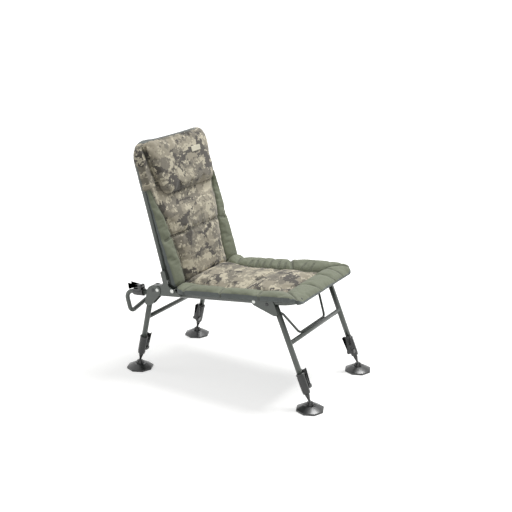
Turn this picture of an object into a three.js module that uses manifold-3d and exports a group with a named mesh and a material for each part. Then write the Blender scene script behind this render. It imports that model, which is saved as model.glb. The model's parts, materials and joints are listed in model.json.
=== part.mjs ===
// Carp fishing chair: a tilted seat frame with a fold-down back, two folding leg frames,
// four telescopic legs on swivel mud feet, and a sliding rear loop. Millimetres, +Z up.
// The chair faces -Y, and +X is the sitter's left. Z = 0 is the ground.
import * as THREE from 'three';
import Module from 'manifold-3d';
import { mergeVertices } from 'three/addons/utils/BufferGeometryUtils.js';

const wasm = await Module();
wasm.setup();

// Clearances and shared gauges
const fit = 0.3;
const runningFit = 0.5;
const overrun = 40;
const roundSides = 12;
const smallSides = 8;
const bendSteps = 4;

// Overall set-out
const trackHalf = 212;
const seatHeight = 375;
const seatTilt = 6.3;
const backRecline = 15.5;

// Seat rails, one tube bent to a U with its open end at the back
const railRadius = 11;
const tubeWall = 1.5;
const railFront = 328;
const railRear = 395;
const railBend = 62;
const crossTubeRadius = 8;
const crossTubeStation = 198;

// Hinge brackets that stand over the rails at the back
const hingeGauge = 2.2;
const hingeToe = 167;
const hingeCrest = 262;
const hingeCrestLength = 30;
const hingeHeel = 324;
const hingeTop = 38;
const hingeHeelTop = 31;
const hingeSkirt = 6;
const hingeSoft = 9;
const backPivotStation = 212.5;
const pivotRise = 17;

// Rivets, bolts and stop buttons
const rivetRadius = 4;
const rivetHeadRadius = 7;
const rivetHeadHeight = 2.6;
const boltHeadRadius = 7.5;
const boltHeadHeight = 4;
const browShare = 0.6;
const buttonRadius = 4.5;
const buttonHeadRadius = 6.5;
const buttonHeadHeight = 2.5;

// Leg frames: pivot stations on the rail, lean from the vertical, and offset of the tube
const frontPivotStation = -157.75;
const frontPivotRise = 0;
const frontLean = 22.7;
const frontOffset = 78;
const frontTubeTop = 40;
const frontBarDrop = 190;
const rearPivotStation = 283.7;
const rearLean = 12.8;
const rearOffset = 34;
const rearTubeTop = 46;
const rearBarDrop = 142;
const cheekGauge = 2.6;
const bracketSoft = 12;
const eyeShare = 0.4;
const frontEye = 10;
const frontLip = 4;
const frontBracketTail = 74;
const rearEye = 15;
const rearBrowReach = 24;
const rearBrowDrop = 8;
const rearLip = 13;
const rearBracketTail = 82;
const collarWall = 1.2;
const collarHeight = 18;
const frontButtonReach = 51.3;
const frontButtonDrop = 23;
const rearButtonReach = 19.8;
const rearButtonDrop = 8.4;
const crossbarRadius = 9;

// Telescopic legs, cam clamps and swivel feet
const legRadius = 11;
const innerLegRadius = 9.2;
const innerLegWall = 1.2;
const innerLegInsertShare = 0.56;
const clampLength = 80;
const clampLap = 46;
const clampRadius = 15;
const clampCollar = 1.2;
const clampCollarHeight = 7;
const swivelDrop = 37;
const leverLength = 66;
const leverWidth = 21;
const leverThickness = 8;
const leverCamRadius = 7;
const leverPivotRise = 22;
const lugGauge = 3.2;
const lugHeight = 15;
const lugSoft = 5;
const leverPinRadius = 2.4;
const leverPinOffset = clampRadius + clampCollar + leverCamRadius;
const leverLip = 3;
const leverSoft = 5;
const leverHeelShare = 0.2;
const leverWaistShare = 0.85;
const ballHeight = 30;
const ballRadius = 9;
const neckRadius = 4.6;
const plugRadius = 8.8;
const plugLength = 18;
const plugCollarHeight = 5;
const neckLength = 12;
const plugGap = 3;
const socketFit = 0.8;
const ballSteps = 5;
const padChamfer = 1.5;
const padRadius = 55;
const padRim = 8;
const padShoulderRadius = 27;
const padShoulderHeight = 22;
const padCorners = 8;
const socketRadius = 14.5;
const socketTop = 32.5;
const petalCount = 6;
const petalSlot = 3;
const socketFloor = 19.5;

// Stay hoop in the front leg frame
const hoopRadius = 4.8;
const hoopHalfWaist = 147;
const hoopHalfFoot = 104;
const hoopBend = 24;
const hoopEyeReach = 12;
const hoopEyeDrop = 22;
const hoopWaistReach = 54;
const hoopWaistDrop = 88;

// Rear loop and its clamps
const loopRadius = 9;
const loopInsert = 110;
const loopBeyondClamp = 43;
const loopBend = 32;
const loopFootBend = 20;
const loopDrop = 92;
const loopFootHalf = 204;
const loopFootTuck = 6;
const loopArchRise = 28;
const loopArchHalf = 60;
const loopArchBend = 110;
const loopPinRise = 12;
const loopClampLap = 33;
const loopClampLength = 50;
const loopLeverLength = 56;

// Back frame, in its own frame: height up the back and depth behind the pivot
const backTubeRadius = 10;
const backTubeDepth = 23;
const backTubeFoot = 44;
const backTubeTop = 572;
const backBend = 62;
const gussetGauge = 2.2;
const gussetEye = 11;
const gussetHeight = 84;
const gussetNeck = 17;
const gussetSoft = 8;

// Slings of coated cloth
const slingGauge = 2.4;
const seatSlingFront = 306;
const seatSlingRear = 186;
const seatSlingSag = 14;
const backSlingFoot = 88;
const backSlingCorner = 56;

// Seat mattress
const seatPadHalf = 237;
const seatPadFront = 346;
const seatPadRear = 192;
const seatPadEdge = 15;
const seatPadCrown = 32;
const seatCrownRound = 4;
const seatSeamRise = 5;
const seatBorderPuff = 15;
const seatPadCorner = 40;
const seatBorder = 58;
const seatColumns = 20;
const seatBorderColumns = 2;
const seatRows = 18;
const seatBorderRows = 2;
const seatTuftRows = [4, 10];
const seatChannelRow = 7;
const seamWidth = 9;
const seamDepth = 11;
const waistShare = 0.5;

// Back mattress and head pillow
const backPadHalf = 222;
const backPadFoot = 9;
const backPadTop = 586;
const backRows = 22;
const backColumns = 20;
const backWingColumns = 3;
const backTuckRow = 8;
const backWingRows = 15;
const backPadEdge = 15;
const backPadCrown = 38;
const backPadCorner = 46;
const padMargin = 1;
const headCrown = 7;
const headStep = 60;
const headStepStart = 0.5;
const headStepEnd = 1.5;
const footRound = 12;
const headRound = 6;
const wingSeamHalf = 157;
const wingSeamSpread = 57;
const wingSpreadFrom = 225;
const hoodHalf = 224;
const hoodFoot = 404;
const hoodCorner = 66;
const hoodWall = 2.4;
const pillowFoot = 372;
const pillowTop = 580;
const pillowHalfTop = 178;
const pillowHalfFoot = 150;
const pillowThickness = 30;

const rad = THREE.MathUtils.degToRad;

// Finishes
const frameCoat = { color: 0x4a524c, roughness: 0.5, metalness: 0.35 };
const brightSteel = { color: 0xd4d6d2, roughness: 0.3, metalness: 1 };
const blackPlastic = { color: 0x1c1e1e, roughness: 0.45, metalness: 0 };
const slingCloth = { color: 0x3b413e, roughness: 0.9, metalness: 0 };
const camoCloth = { color: 0x99907b, roughness: 0.95, metalness: 0 };

// Solids: joins and cuts on closed meshes

function solidOf(geometry) {
  const bare = geometry.clone();
  bare.deleteAttribute('normal');
  bare.deleteAttribute('uv');
  const merged = mergeVertices(bare);
  return new wasm.Manifold(new wasm.Mesh({
    numProp: 3,
    vertProperties: new Float32Array(merged.attributes.position.array),
    triVerts: new Uint32Array(merged.index.array),
  }));
}

function geometryOf(solid) {
  const mesh = solid.getMesh();
  const geometry = new THREE.BufferGeometry();
  geometry.setAttribute('position', new THREE.Float32BufferAttribute(mesh.vertProperties, 3));
  geometry.setIndex(Array.from(mesh.triVerts));
  return geometry;
}

function cut(body, ...tools) {
  return geometryOf(tools.reduce((rest, tool) => rest.subtract(solidOf(tool)), solidOf(body)));
}

function join(...bodies) {
  return geometryOf(bodies.map(solidOf).reduce((sum, body) => sum.add(body)));
}

function addPart(parent, name, geometry, finish) {
  geometry.computeVertexNormals();
  const mesh = new THREE.Mesh(geometry, new THREE.MeshStandardMaterial(finish));
  mesh.name = name;
  parent.add(mesh);
  return mesh;
}

// Tubes: a path of straight runs and round bends, swept by a round section

class BentPath extends THREE.Curve {
  constructor(corners, bend) {
    super();
    this.stations = [];
    corners.forEach((corner, i) => {
      const before = corners[i - 1];
      const after = corners[i + 1];
      if (!before || !after) {
        const tangent = before ? corner.clone().sub(before) : after.clone().sub(corner);
        this.stations.push({ point: corner, tangent: tangent.normalize() });
        return;
      }
      const arriving = corner.clone().sub(before).normalize();
      const leaving = after.clone().sub(corner).normalize();
      const turn = arriving.angleTo(leaving);
      const radius = Array.isArray(bend) ? bend[i - 1] : bend;
      const start = corner.clone().addScaledVector(arriving, -radius * Math.tan(turn / 2));
      const axis = arriving.clone().cross(leaving).normalize();
      const inward = axis.clone().cross(arriving);
      const centre = start.clone().addScaledVector(inward, radius);
      for (let k = 0; k <= bendSteps; k += 1) {
        const angle = turn * k / bendSteps;
        const arm = start.clone().sub(centre).applyAxisAngle(axis, angle);
        const tangent = arriving.clone().applyAxisAngle(axis, angle);
        this.stations.push({ point: centre.clone().add(arm), tangent });
      }
    });
    this.steps = this.stations.length - 1;
  }

  getPointAt(u, target = new THREE.Vector3()) {
    return target.copy(this.stations[Math.round(u * this.steps)].point);
  }

  getTangentAt(u, target = new THREE.Vector3()) {
    return target.copy(this.stations[Math.round(u * this.steps)].tangent);
  }
}

function roundSection(radius, wall, sides) {
  const ring = (r) => Array.from({ length: sides }, (_, i) => {
    const angle = 2 * Math.PI * i / sides;
    return new THREE.Vector2(r * Math.cos(angle), r * Math.sin(angle));
  });
  const section = new THREE.Shape(ring(radius));
  if (wall) section.holes.push(new THREE.Path(ring(radius - wall)));
  return section;
}

function tube(corners, radius, { wall = 0, bend = 0, sides = roundSides } = {}) {
  const path = new BentPath(corners.map((c) => new THREE.Vector3(...c)), bend);
  const section = roundSection(radius, wall, sides);
  return new THREE.ExtrudeGeometry(section, { steps: path.steps, extrudePath: path });
}

function crossRod(radius, x0, x1, y, z, sides = roundSides) {
  return tube([[x0, y, z], [x1, y, z]], radius, { sides });
}

// Plates: an outline with softened corners in the Y-Z plane, given a thickness along X

function softOutline(points, soft) {
  const outline = new THREE.Shape();
  points.forEach(([y, z], i) => {
    const corner = new THREE.Vector2(y, z);
    const before = new THREE.Vector2(...points.at(i - 1));
    const after = new THREE.Vector2(...points[(i + 1) % points.length]);
    const radius = Math.min(soft, corner.distanceTo(before) / 2, corner.distanceTo(after) / 2);
    const start = corner.clone().lerp(before, radius / corner.distanceTo(before));
    const end = corner.clone().lerp(after, radius / corner.distanceTo(after));
    if (i) outline.lineTo(start.x, start.y);
    else outline.moveTo(start.x, start.y);
    if (soft) outline.quadraticCurveTo(corner.x, corner.y, end.x, end.y);
  });
  return outline;
}

function plateAcross(outline, x0, x1) {
  const slab = new THREE.ExtrudeGeometry(outline, { depth: x1 - x0, bevelEnabled: false, curveSegments: 3 });
  const axes = new THREE.Matrix4().makeBasis(
    new THREE.Vector3(0, 1, 0), new THREE.Vector3(0, 0, 1), new THREE.Vector3(1, 0, 0));
  return slab.applyMatrix4(axes).translate(x0, 0, 0);
}

// Turned pieces about a line along X, and about a line along Z

function turned(profile, sides = roundSides) {
  return new THREE.LatheGeometry(profile.map(([r, h]) => new THREE.Vector2(r, h)), sides).rotateX(rad(90));
}

function turnedAcross(profile, sides = roundSides) {
  return turned(profile, sides).rotateY(rad(90));
}

function headedPin(shank, head, headHeight, span, y, z) {
  const reach = span / 2 + fit;
  const outer = reach + headHeight;
  const brow = head * browShare;
  return turnedAcross([
    [0, -outer], [brow, -outer], [head, -reach], [shank, -reach],
    [shank, reach], [head, reach], [brow, outer], [0, outer],
  ], smallSides).translate(0, y, z);
}

// A panel in the X-Z plane with round top corners, from depth y0 back to y1
function panelUp({ half, foot, top, corner }, y0, y1) {
  const outline = new THREE.Shape();
  outline.moveTo(-half, foot);
  outline.lineTo(half, foot);
  outline.lineTo(half, top - corner);
  outline.absarc(half - corner, top - corner, corner, 0, Math.PI / 2);
  outline.absarc(corner - half, top - corner, corner, Math.PI / 2, Math.PI);
  outline.closePath();
  return new THREE.ExtrudeGeometry(outline, {
    depth: y1 - y0, bevelEnabled: false, curveSegments: 6,
  }).rotateX(rad(90)).translate(0, y1, 0);
}

// Cushions: a unit block whose faces are pushed out to a crown and drawn in along the seams

function cushion({ columns, rows, place, thickness, rise }) {
  const block = new THREE.BoxGeometry(1, 1, 1, columns, rows, 2);
  const spot = new THREE.Vector3();
  const at = block.attributes.position;
  for (let i = 0; i < at.count; i += 1) {
    spot.fromBufferAttribute(at, i);
    const across = 2 * spot.x;
    const along = 2 * spot.y;
    const [x, y] = place(across, along);
    const top = rise(across, along, x, y);
    const lift = spot.z > 0 ? thickness + top : spot.z < 0 ? 0 : thickness * waistShare;
    at.setXYZ(i, x, y, lift);
  }
  return block;
}

// Draws in the corners of an outline that is centred on y = mid
function roundedCorner(x, y, halfX, halfY, mid, corner) {
  const overX = Math.max(0, Math.abs(x) - (halfX - corner));
  const overY = Math.max(0, Math.abs(y - mid) - (halfY - corner));
  const reach = Math.max(overX, overY);
  if (!reach) return [x, y];
  const spare = 1 - reach / Math.hypot(overX, overY);
  return [x - Math.sign(x) * overX * spare, y - Math.sign(y - mid) * overY * spare];
}

// Maps a grid coordinate from 0 to 1 so that the seam falls on a grid line
function seamed(share, seamShare, seam, edge) {
  if (share <= seamShare) return seam * share / seamShare;
  return THREE.MathUtils.lerp(seam, edge, (share - seamShare) / (1 - seamShare));
}

const groove = (distance) => seamDepth * Math.exp(-((distance / seamWidth) ** 2));

const chair = new THREE.Group();
const seat = new THREE.Group();
seat.position.set(0, 0, seatHeight);
seat.rotation.x = -rad(seatTilt);
chair.add(seat);

const sides = [['left', 1], ['right', -1]];
const rail = trackHalf;

// Seat frame

const railCorners = [
  [-rail, railRear, 0], [-rail, -railFront, 0], [rail, -railFront, 0], [rail, railRear, 0],
];
addPart(seat, 'seat_frame_tube', cut(
  tube(railCorners, railRadius, { wall: tubeWall, bend: railBend }),
  crossRod(rivetRadius + fit, -rail - overrun, -rail + overrun, frontPivotStation, frontPivotRise),
  crossRod(rivetRadius + fit, rail - overrun, rail + overrun, frontPivotStation, frontPivotRise),
), frameCoat);

const hingeHalf = railRadius + fit + hingeGauge;
const hingeGap = hingeHalf + runningFit;
const gussetHalf = hingeGap + gussetGauge;
const crossTubeHalf = rail - hingeHalf - fit;
addPart(seat, 'seat_cross_tube',
  crossRod(crossTubeRadius, -crossTubeHalf, crossTubeHalf, crossTubeStation, 0), frameCoat);

const hingeOutline = softOutline([
  [hingeToe, -hingeSkirt], [hingeCrest - hingeCrestLength, hingeTop], [hingeCrest, hingeTop],
  [hingeHeel, hingeHeelTop], [hingeHeel, -hingeSkirt],
], hingeSoft);
const hingeHollow = softOutline([
  [hingeToe - overrun, -hingeSkirt - overrun], [hingeToe - overrun, hingeTop + overrun],
  [hingeCrest, hingeTop + overrun], [hingeCrest, hingeTop - hingeGauge],
  [hingeHeel + overrun, hingeHeelTop - hingeGauge], [hingeHeel + overrun, -hingeSkirt - overrun],
], 0);

for (const [side, sign] of sides) {
  const x = sign * rail;
  addPart(seat, `hinge_bracket_${side}`, cut(
    plateAcross(hingeOutline, x - hingeHalf, x + hingeHalf),
    plateAcross(hingeHollow, x - railRadius - fit, x + railRadius + fit),
    crossRod(rivetRadius + fit, x - overrun, x + overrun, rearPivotStation, pivotRise),
    crossRod(rivetRadius + fit, x - overrun, x + overrun, backPivotStation, pivotRise),
  ), frameCoat);
  addPart(seat, `back_pivot_bolt_${side}`,
    headedPin(rivetRadius, boltHeadRadius, boltHeadHeight, 2 * gussetHalf, backPivotStation, pivotRise)
      .translate(x, 0, 0), brightSteel);
}

// Seat sling, laid over the rails and sagging between them

const slingHalf = rail + railRadius;
const slingShoulder = rail - railRadius;
const slingBase = railRadius + fit;
const slingTop = slingBase + slingGauge;
const seatSlingOutline = new THREE.Shape();
seatSlingOutline.moveTo(-slingHalf, slingBase);
seatSlingOutline.lineTo(-slingShoulder, slingBase);
seatSlingOutline.quadraticCurveTo(0, slingBase - 2 * seatSlingSag, slingShoulder, slingBase);
seatSlingOutline.lineTo(slingHalf, slingBase);
seatSlingOutline.lineTo(slingHalf, slingTop);
seatSlingOutline.lineTo(slingShoulder, slingTop);
seatSlingOutline.quadraticCurveTo(0, slingTop - 2 * seatSlingSag, -slingShoulder, slingTop);
seatSlingOutline.lineTo(-slingHalf, slingTop);
addPart(seat, 'seat_sling', cut(
  new THREE.ExtrudeGeometry(seatSlingOutline, {
    depth: seatSlingFront + seatSlingRear, bevelEnabled: false, curveSegments: 10,
  }).rotateX(rad(90)).translate(0, seatSlingRear, 0),
  tube(railCorners, railRadius + fit, { bend: railBend }),
), slingCloth);

// Seat mattress: a puffed border round a wider middle panel

const seatPadLength = (seatPadFront + seatPadRear) / 2;
const seatPadMid = (seatPadRear - seatPadFront) / 2;
const panelHalf = seatPadHalf - seatBorder;
const panelFront = -seatPadFront + seatBorder;
const panelPitch = (seatPadRear - panelFront) / (seatRows - seatBorderRows);
const seatSeamColumn = 1 - 2 * seatBorderColumns / seatColumns;
const seatSeamRow = seatBorderRows / seatRows;
const panelChannel = panelFront + seatChannelRow * panelPitch;
const seatTufts = seatTuftRows.map((row) => panelFront + row * panelPitch);
addPart(seat, 'seat_mattress', cushion({
  columns: seatColumns,
  rows: seatRows,
  thickness: seatPadEdge,
  place: (across, along) => {
    const x = Math.sign(across) * seamed(Math.abs(across), seatSeamColumn, panelHalf, seatPadHalf);
    const down = seamed((along + 1) / 2, seatSeamRow, seatBorder, 2 * seatPadLength);
    const y = down - seatPadFront;
    return roundedCorner(x, y, seatPadHalf, seatPadLength, seatPadMid, seatPadCorner);
  },
  rise: (across, along, x, y) => {
    const rearEnd = along > 0 ? 1 - along ** footRound : 1;
    const sideOut = (Math.abs(across) - seatSeamColumn) / (1 - seatSeamColumn);
    const out = Math.max(sideOut, 1 - (along + 1) / 2 / seatSeamRow);
    if (out > 0) {
      const puff = seatBorderPuff * (1 - (2 * out - 1) ** 2);
      const tufts = seatTufts.map((tuft) => (sideOut > 0 ? groove(y - tuft) : 0));
      return rearEnd * Math.max(0, seatSeamRise * (1 - out) + puff - Math.max(...tufts));
    }
    const lengthwise = (2 * y - panelFront - seatPadRear) / (seatPadRear - panelFront);
    const crown = seatPadCrown * (1 - (x / panelHalf) ** 2) * (1 - lengthwise ** seatCrownRound);
    return rearEnd * (seatSeamRise + Math.max(0, crown - groove(y - panelChannel)));
  },
}).translate(0, 0, slingTop + fit), camoCloth);

// Back frame group: Z runs up the back, Y is depth behind the pivot

const back = new THREE.Group();
back.position.set(0, backPivotStation, pivotRise);
back.rotation.x = -rad(backRecline) + rad(seatTilt);
seat.add(back);

const backCorners = [
  [-rail, backTubeDepth, backTubeFoot], [-rail, backTubeDepth, backTubeTop],
  [rail, backTubeDepth, backTubeTop], [rail, backTubeDepth, backTubeFoot],
];
addPart(back, 'back_frame_tube',
  tube(backCorners, backTubeRadius, { wall: tubeWall, bend: backBend }), frameCoat);

const gussetRear = backTubeDepth + backTubeRadius + collarWall;
const gussetFront = backTubeDepth - backTubeRadius - collarWall;
const gussetOutline = (margin) => softOutline([
  [-gussetEye - margin, -gussetEye], [gussetEye / 2, -gussetEye], [gussetRear + margin, backTubeFoot / 2],
  [gussetRear + margin, gussetHeight], [gussetFront - margin, gussetHeight],
  [gussetFront - margin, gussetNeck + margin], [-gussetEye - margin, margin],
], gussetSoft);
const gussetHollow = softOutline([
  [-overrun, -overrun], [overrun, -overrun], [overrun, gussetHeight - collarHeight],
  [-overrun, gussetHeight - collarHeight],
], 0);
for (const [side, sign] of sides) {
  const x = sign * rail;
  addPart(back, `back_gusset_${side}`, cut(
    plateAcross(gussetOutline(0), x - gussetHalf, x + gussetHalf),
    plateAcross(gussetHollow, x - hingeGap, x + hingeGap),
    tube([
      [x, backTubeDepth, backTubeFoot], [x, backTubeDepth, gussetHeight + overrun],
    ], backTubeRadius + fit),
    crossRod(rivetRadius + fit, x - overrun, x + overrun, 0, 0),
  ), frameCoat);
}

// Back sling between the back tubes
const backSling = {
  half: rail - backTubeRadius - fit,
  foot: backSlingFoot,
  top: backTubeTop - backTubeRadius - fit,
  corner: backSlingCorner,
};
const slingFace = backTubeDepth - slingGauge / 2;
const slingRear = backTubeDepth + slingGauge / 2;
addPart(back, 'back_sling', panelUp(backSling, slingFace, slingRear), slingCloth);

// Back mattress: side wings below, a tuck across the lumbar, and a hood over the top of the frame
const backPadLength = (backPadTop - backPadFoot) / 2;
const backPadMid = (backPadTop + backPadFoot) / 2;
const backPadSeat = gussetFront - fit;
const backPitch = (backPadTop - backPadFoot) / backRows;
const tuckHeight = backPadFoot + backTuckRow * backPitch;
const wingTop = backPadFoot + backWingRows * backPitch;
const wingSeam = (y) => {
  const spread = THREE.MathUtils.clamp((y - wingSpreadFrom) / (wingTop - wingSpreadFrom), 0, 1);
  return wingSeamHalf + wingSeamSpread * spread ** 2;
};
const headFull = (y) => {
  const below = (pillowFoot - y) / headStep;
  return THREE.MathUtils.smoothstep(below, headStepStart, headStepEnd);
};
const backPad = cushion({
  columns: backColumns,
  rows: backRows,
  thickness: backPadEdge,
  place: (across, along) => {
    const y = backPadMid + along * backPadLength;
    const seamColumn = 1 - 2 * backWingColumns / backColumns;
    const seam = y > wingTop + fit ? seamColumn * backPadHalf : wingSeam(y);
    const x = Math.sign(across) * seamed(Math.abs(across), seamColumn, seam, backPadHalf);
    return roundedCorner(x, y, backPadHalf, backPadLength, backPadMid, backPadCorner);
  },
  rise: (across, along, x, y) => {
    const ends = 1 - along ** (along < 0 ? footRound : headRound);
    const crown = THREE.MathUtils.lerp(headCrown, backPadCrown, headFull(y)) * (1 - across ** 4) * ends;
    const wing = y < wingTop + fit ? groove(Math.abs(x) - wingSeam(y)) : 0;
    const tuck = Math.abs(x) < wingSeamHalf ? groove(y - tuckHeight) : 0;
    return Math.max(0, crown - Math.max(wing, tuck));
  },
}).rotateX(rad(90)).translate(0, backPadSeat, 0);
const hoodRear = backTubeDepth + backTubeRadius + hoodWall;
const hood = panelUp({ half: hoodHalf, foot: hoodFoot, top: backPadTop, corner: hoodCorner },
  backPadSeat - backPadEdge / 2, hoodRear);
const slingRoom = { ...backSling, half: backSling.half + fit, top: backSling.top + fit };
const notchInner = rail - gussetHalf - padMargin;
const notchOuter = rail + gussetHalf + overrun;
addPart(back, 'back_mattress', cut(
  join(backPad, hood),
  tube(backCorners, backTubeRadius + fit, { bend: backBend }),
  panelUp(slingRoom, slingFace - fit, slingRear + fit),
  plateAcross(gussetOutline(padMargin), notchInner, notchOuter),
  plateAcross(gussetOutline(padMargin), -notchOuter, -notchInner),
), camoCloth);

// Head pillow, sewn to the top of the back
const pillowLength = (pillowTop - pillowFoot) / 2;
const pillowMid = (pillowTop + pillowFoot) / 2;
const pillowSeat = backPadSeat - backPadEdge - headCrown - fit;
addPart(back, 'head_pillow', cushion({
  columns: 14,
  rows: 10,
  thickness: pillowThickness * waistShare,
  place: (across, along) => {
    const half = THREE.MathUtils.lerp(pillowHalfFoot, pillowHalfTop, (along + 1) / 2);
    const y = pillowMid + along * pillowLength;
    return roundedCorner(across * half, y, half, pillowLength, pillowMid, backPadCorner);
  },
  rise: (across, along) => pillowThickness * waistShare * (1 - across ** 4) * (1 - along ** 4),
}).rotateX(rad(90)).translate(0, pillowSeat, 0), camoCloth);

// Leg frames: Z runs up the leg and Y is measured from the pivot, so each tube stands off along Y

const railGap = railRadius + runningFit;
const legFrames = [
  {
    end: 'front',
    way: -1,
    station: frontPivotStation,
    rise: frontPivotRise,
    lean: frontLean,
    offset: frontOffset,
    tubeTop: frontTubeTop,
    barDrop: frontBarDrop,
    gap: railGap,
    eye: frontEye,
    lip: frontLip,
    brow: [0, (frontOffset + frontLip) * Math.tan(rad(frontLean - seatTilt)) - frontEye],
    tail: frontBracketTail,
    button: [frontButtonReach, frontButtonDrop],
  },
  {
    end: 'rear',
    way: 1,
    station: rearPivotStation,
    rise: pivotRise,
    lean: rearLean,
    offset: rearOffset,
    tubeTop: rearTubeTop,
    barDrop: rearBarDrop,
    gap: hingeGap,
    eye: rearEye,
    lip: rearLip,
    brow: [rearBrowReach, rearBrowDrop],
    tail: rearBracketTail,
    button: [rearButtonReach, rearButtonDrop],
  },
];

function legBracket(frame, x) {
  const { way, offset, gap, eye, lip, tail } = frame;
  const [browReach, browDrop] = frame.brow;
  const outer = gap + cheekGauge;
  const collarSide = offset - legRadius - collarWall;
  const turn = (points) => points.map(([u, v]) => [way * u, -v]);
  const outline = softOutline(turn([
    [-eye, -eye * eyeShare], [-eye * eyeShare, -eye], [browReach, -eye], [offset + lip, browDrop],
    [offset + lip, tail], [collarSide, tail], [-eye, eye],
  ]), bracketSoft);
  const hollow = softOutline(turn([
    [-overrun, -overrun], [offset + overrun, -overrun], [offset + overrun, tail - collarHeight],
    [collarSide, tail - collarHeight], [collarSide, tail + overrun], [-overrun, tail + overrun],
  ]), 0);
  const [reach, drop] = frame.button;
  return cut(
    plateAcross(outline, x - outer, x + outer),
    plateAcross(hollow, x - gap, x + gap),
    tube([[x, way * offset, 0], [x, way * offset, -tail - overrun]], legRadius + fit),
    crossRod(rivetRadius + fit, x - overrun, x + overrun, 0, 0),
    crossRod(buttonRadius + fit, x - overrun, x + overrun, way * reach, -drop),
  );
}

function stopButton(inner, outer) {
  return turnedAcross([
    [0, inner], [buttonRadius, inner], [buttonRadius, outer + fit], [buttonHeadRadius, outer + fit],
    [buttonHeadRadius * browShare, outer + buttonHeadHeight], [0, outer + buttonHeadHeight],
  ], smallSides);
}

// Cam clamp: a stepped sleeve with two lugs, and a lever on a pin between them.
// Z = 0 is the wide end, and the lever stands off along +Y.
function clampSleeve({ length, lap, throat, pin }) {
  const body = turned([
    [legRadius + fit, 0], [legRadius + fit, -lap], [throat + fit, -lap], [throat + fit, -length],
    [clampRadius - clampCollar, -length], [clampRadius, -length + clampCollarHeight],
    [clampRadius, -clampCollarHeight - clampCollar], [clampRadius + clampCollar, -clampCollarHeight],
    [clampRadius + clampCollar, 0], [legRadius + fit, 0],
  ]);
  const lugInner = leverWidth / 2 + runningFit;
  const lugOuter = lugInner + lugGauge;
  const lugOutline = softOutline([
    [clampRadius / 2, pin - lugHeight / 2], [leverPinOffset + leverCamRadius, pin - lugHeight / 2],
    [leverPinOffset + leverCamRadius, pin + lugHeight / 2], [clampRadius / 2, pin + lugHeight / 2],
  ], lugSoft);
  const bore = tube([[0, 0, overrun], [0, 0, -length - overrun]], legRadius + fit + clampCollar);
  const pinHole = crossRod(leverPinRadius + fit, -overrun, overrun, leverPinOffset, pin);
  const lugs = [-1, 1].map((end) => cut(
    plateAcross(lugOutline, end > 0 ? lugInner : -lugOuter, end > 0 ? lugOuter : -lugInner),
    bore, pinHole,
  ));
  return join(body, ...lugs);
}

function clampLever({ pin, swing, reach }) {
  const near = leverPinOffset - leverCamRadius + fit;
  const heel = leverPinOffset + leverCamRadius;
  const face = near + leverThickness;
  const at = (share) => pin + swing * reach * share;
  const heelEnd = pin - swing * leverCamRadius;
  const outline = softOutline([
    [near, heelEnd], [heel, heelEnd], [heel, at(leverHeelShare)], [face, at(leverWaistShare)],
    [face + leverLip, at(1)], [near + leverLip, at(1)], [near, at(leverWaistShare)],
  ], leverSoft);
  const pinReach = leverWidth / 2 + runningFit + lugGauge;
  return join(
    plateAcross(outline, -leverWidth / 2, leverWidth / 2),
    crossRod(leverPinRadius, -pinReach, pinReach, leverPinOffset, pin, smallSides),
  );
}

// Swivel end: plug in the inner tube, tapered neck and ball, about the ball's centre
function swivelStem() {
  const plugBase = swivelDrop - plugGap;
  const plugShank = innerLegRadius - innerLegWall - fit;
  const arc = Array.from({ length: ballSteps + 1 }, (_, i) => {
    const angle = -Math.PI / 2 + (Math.PI / 2 + Math.acos(neckRadius / ballRadius)) * i / ballSteps;
    return [ballRadius * Math.cos(angle), ballRadius * Math.sin(angle)];
  });
  arc[0][0] = 0;
  return turned([
    ...arc, [neckRadius, neckLength], [plugRadius, plugBase - plugCollarHeight], [plugRadius, plugBase],
    [plugShank, plugBase], [plugShank, plugBase + plugLength], [0, plugBase + plugLength],
  ], smallSides);
}

// Mud foot: an eight-sided dished pad with a ring of petals that holds the ball
function mudFoot() {
  const pad = turned([
    [0, -ballHeight], [padRadius - padChamfer, -ballHeight], [padRadius, padChamfer - ballHeight],
    [padRadius, padRim - ballHeight], [padShoulderRadius, padShoulderHeight - ballHeight],
    [socketRadius, padShoulderHeight - ballHeight], [0, padShoulderHeight - ballHeight],
  ], padCorners);
  const cup = turned([
    [0, padRim - ballHeight], [socketRadius + padChamfer, padRim - ballHeight],
    [socketRadius + padChamfer, padShoulderHeight + padChamfer - ballHeight],
    [socketRadius - padChamfer, socketTop - ballHeight], [0, socketTop - ballHeight],
  ], smallSides);
  const ball = new THREE.SphereGeometry(ballRadius + socketFit, roundSides, smallSides).rotateX(rad(90));
  const slotDepth = socketTop - socketFloor;
  const slots = Array.from({ length: petalCount / 2 }, (_, i) => (
    new THREE.BoxGeometry(overrun, petalSlot, slotDepth)
      .translate(0, 0, socketFloor + slotDepth / 2 - ballHeight + fit)
      .rotateZ(2 * Math.PI * i / petalCount)
  ));
  return cut(join(pad, cup), ball, ...slots);
}

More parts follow.
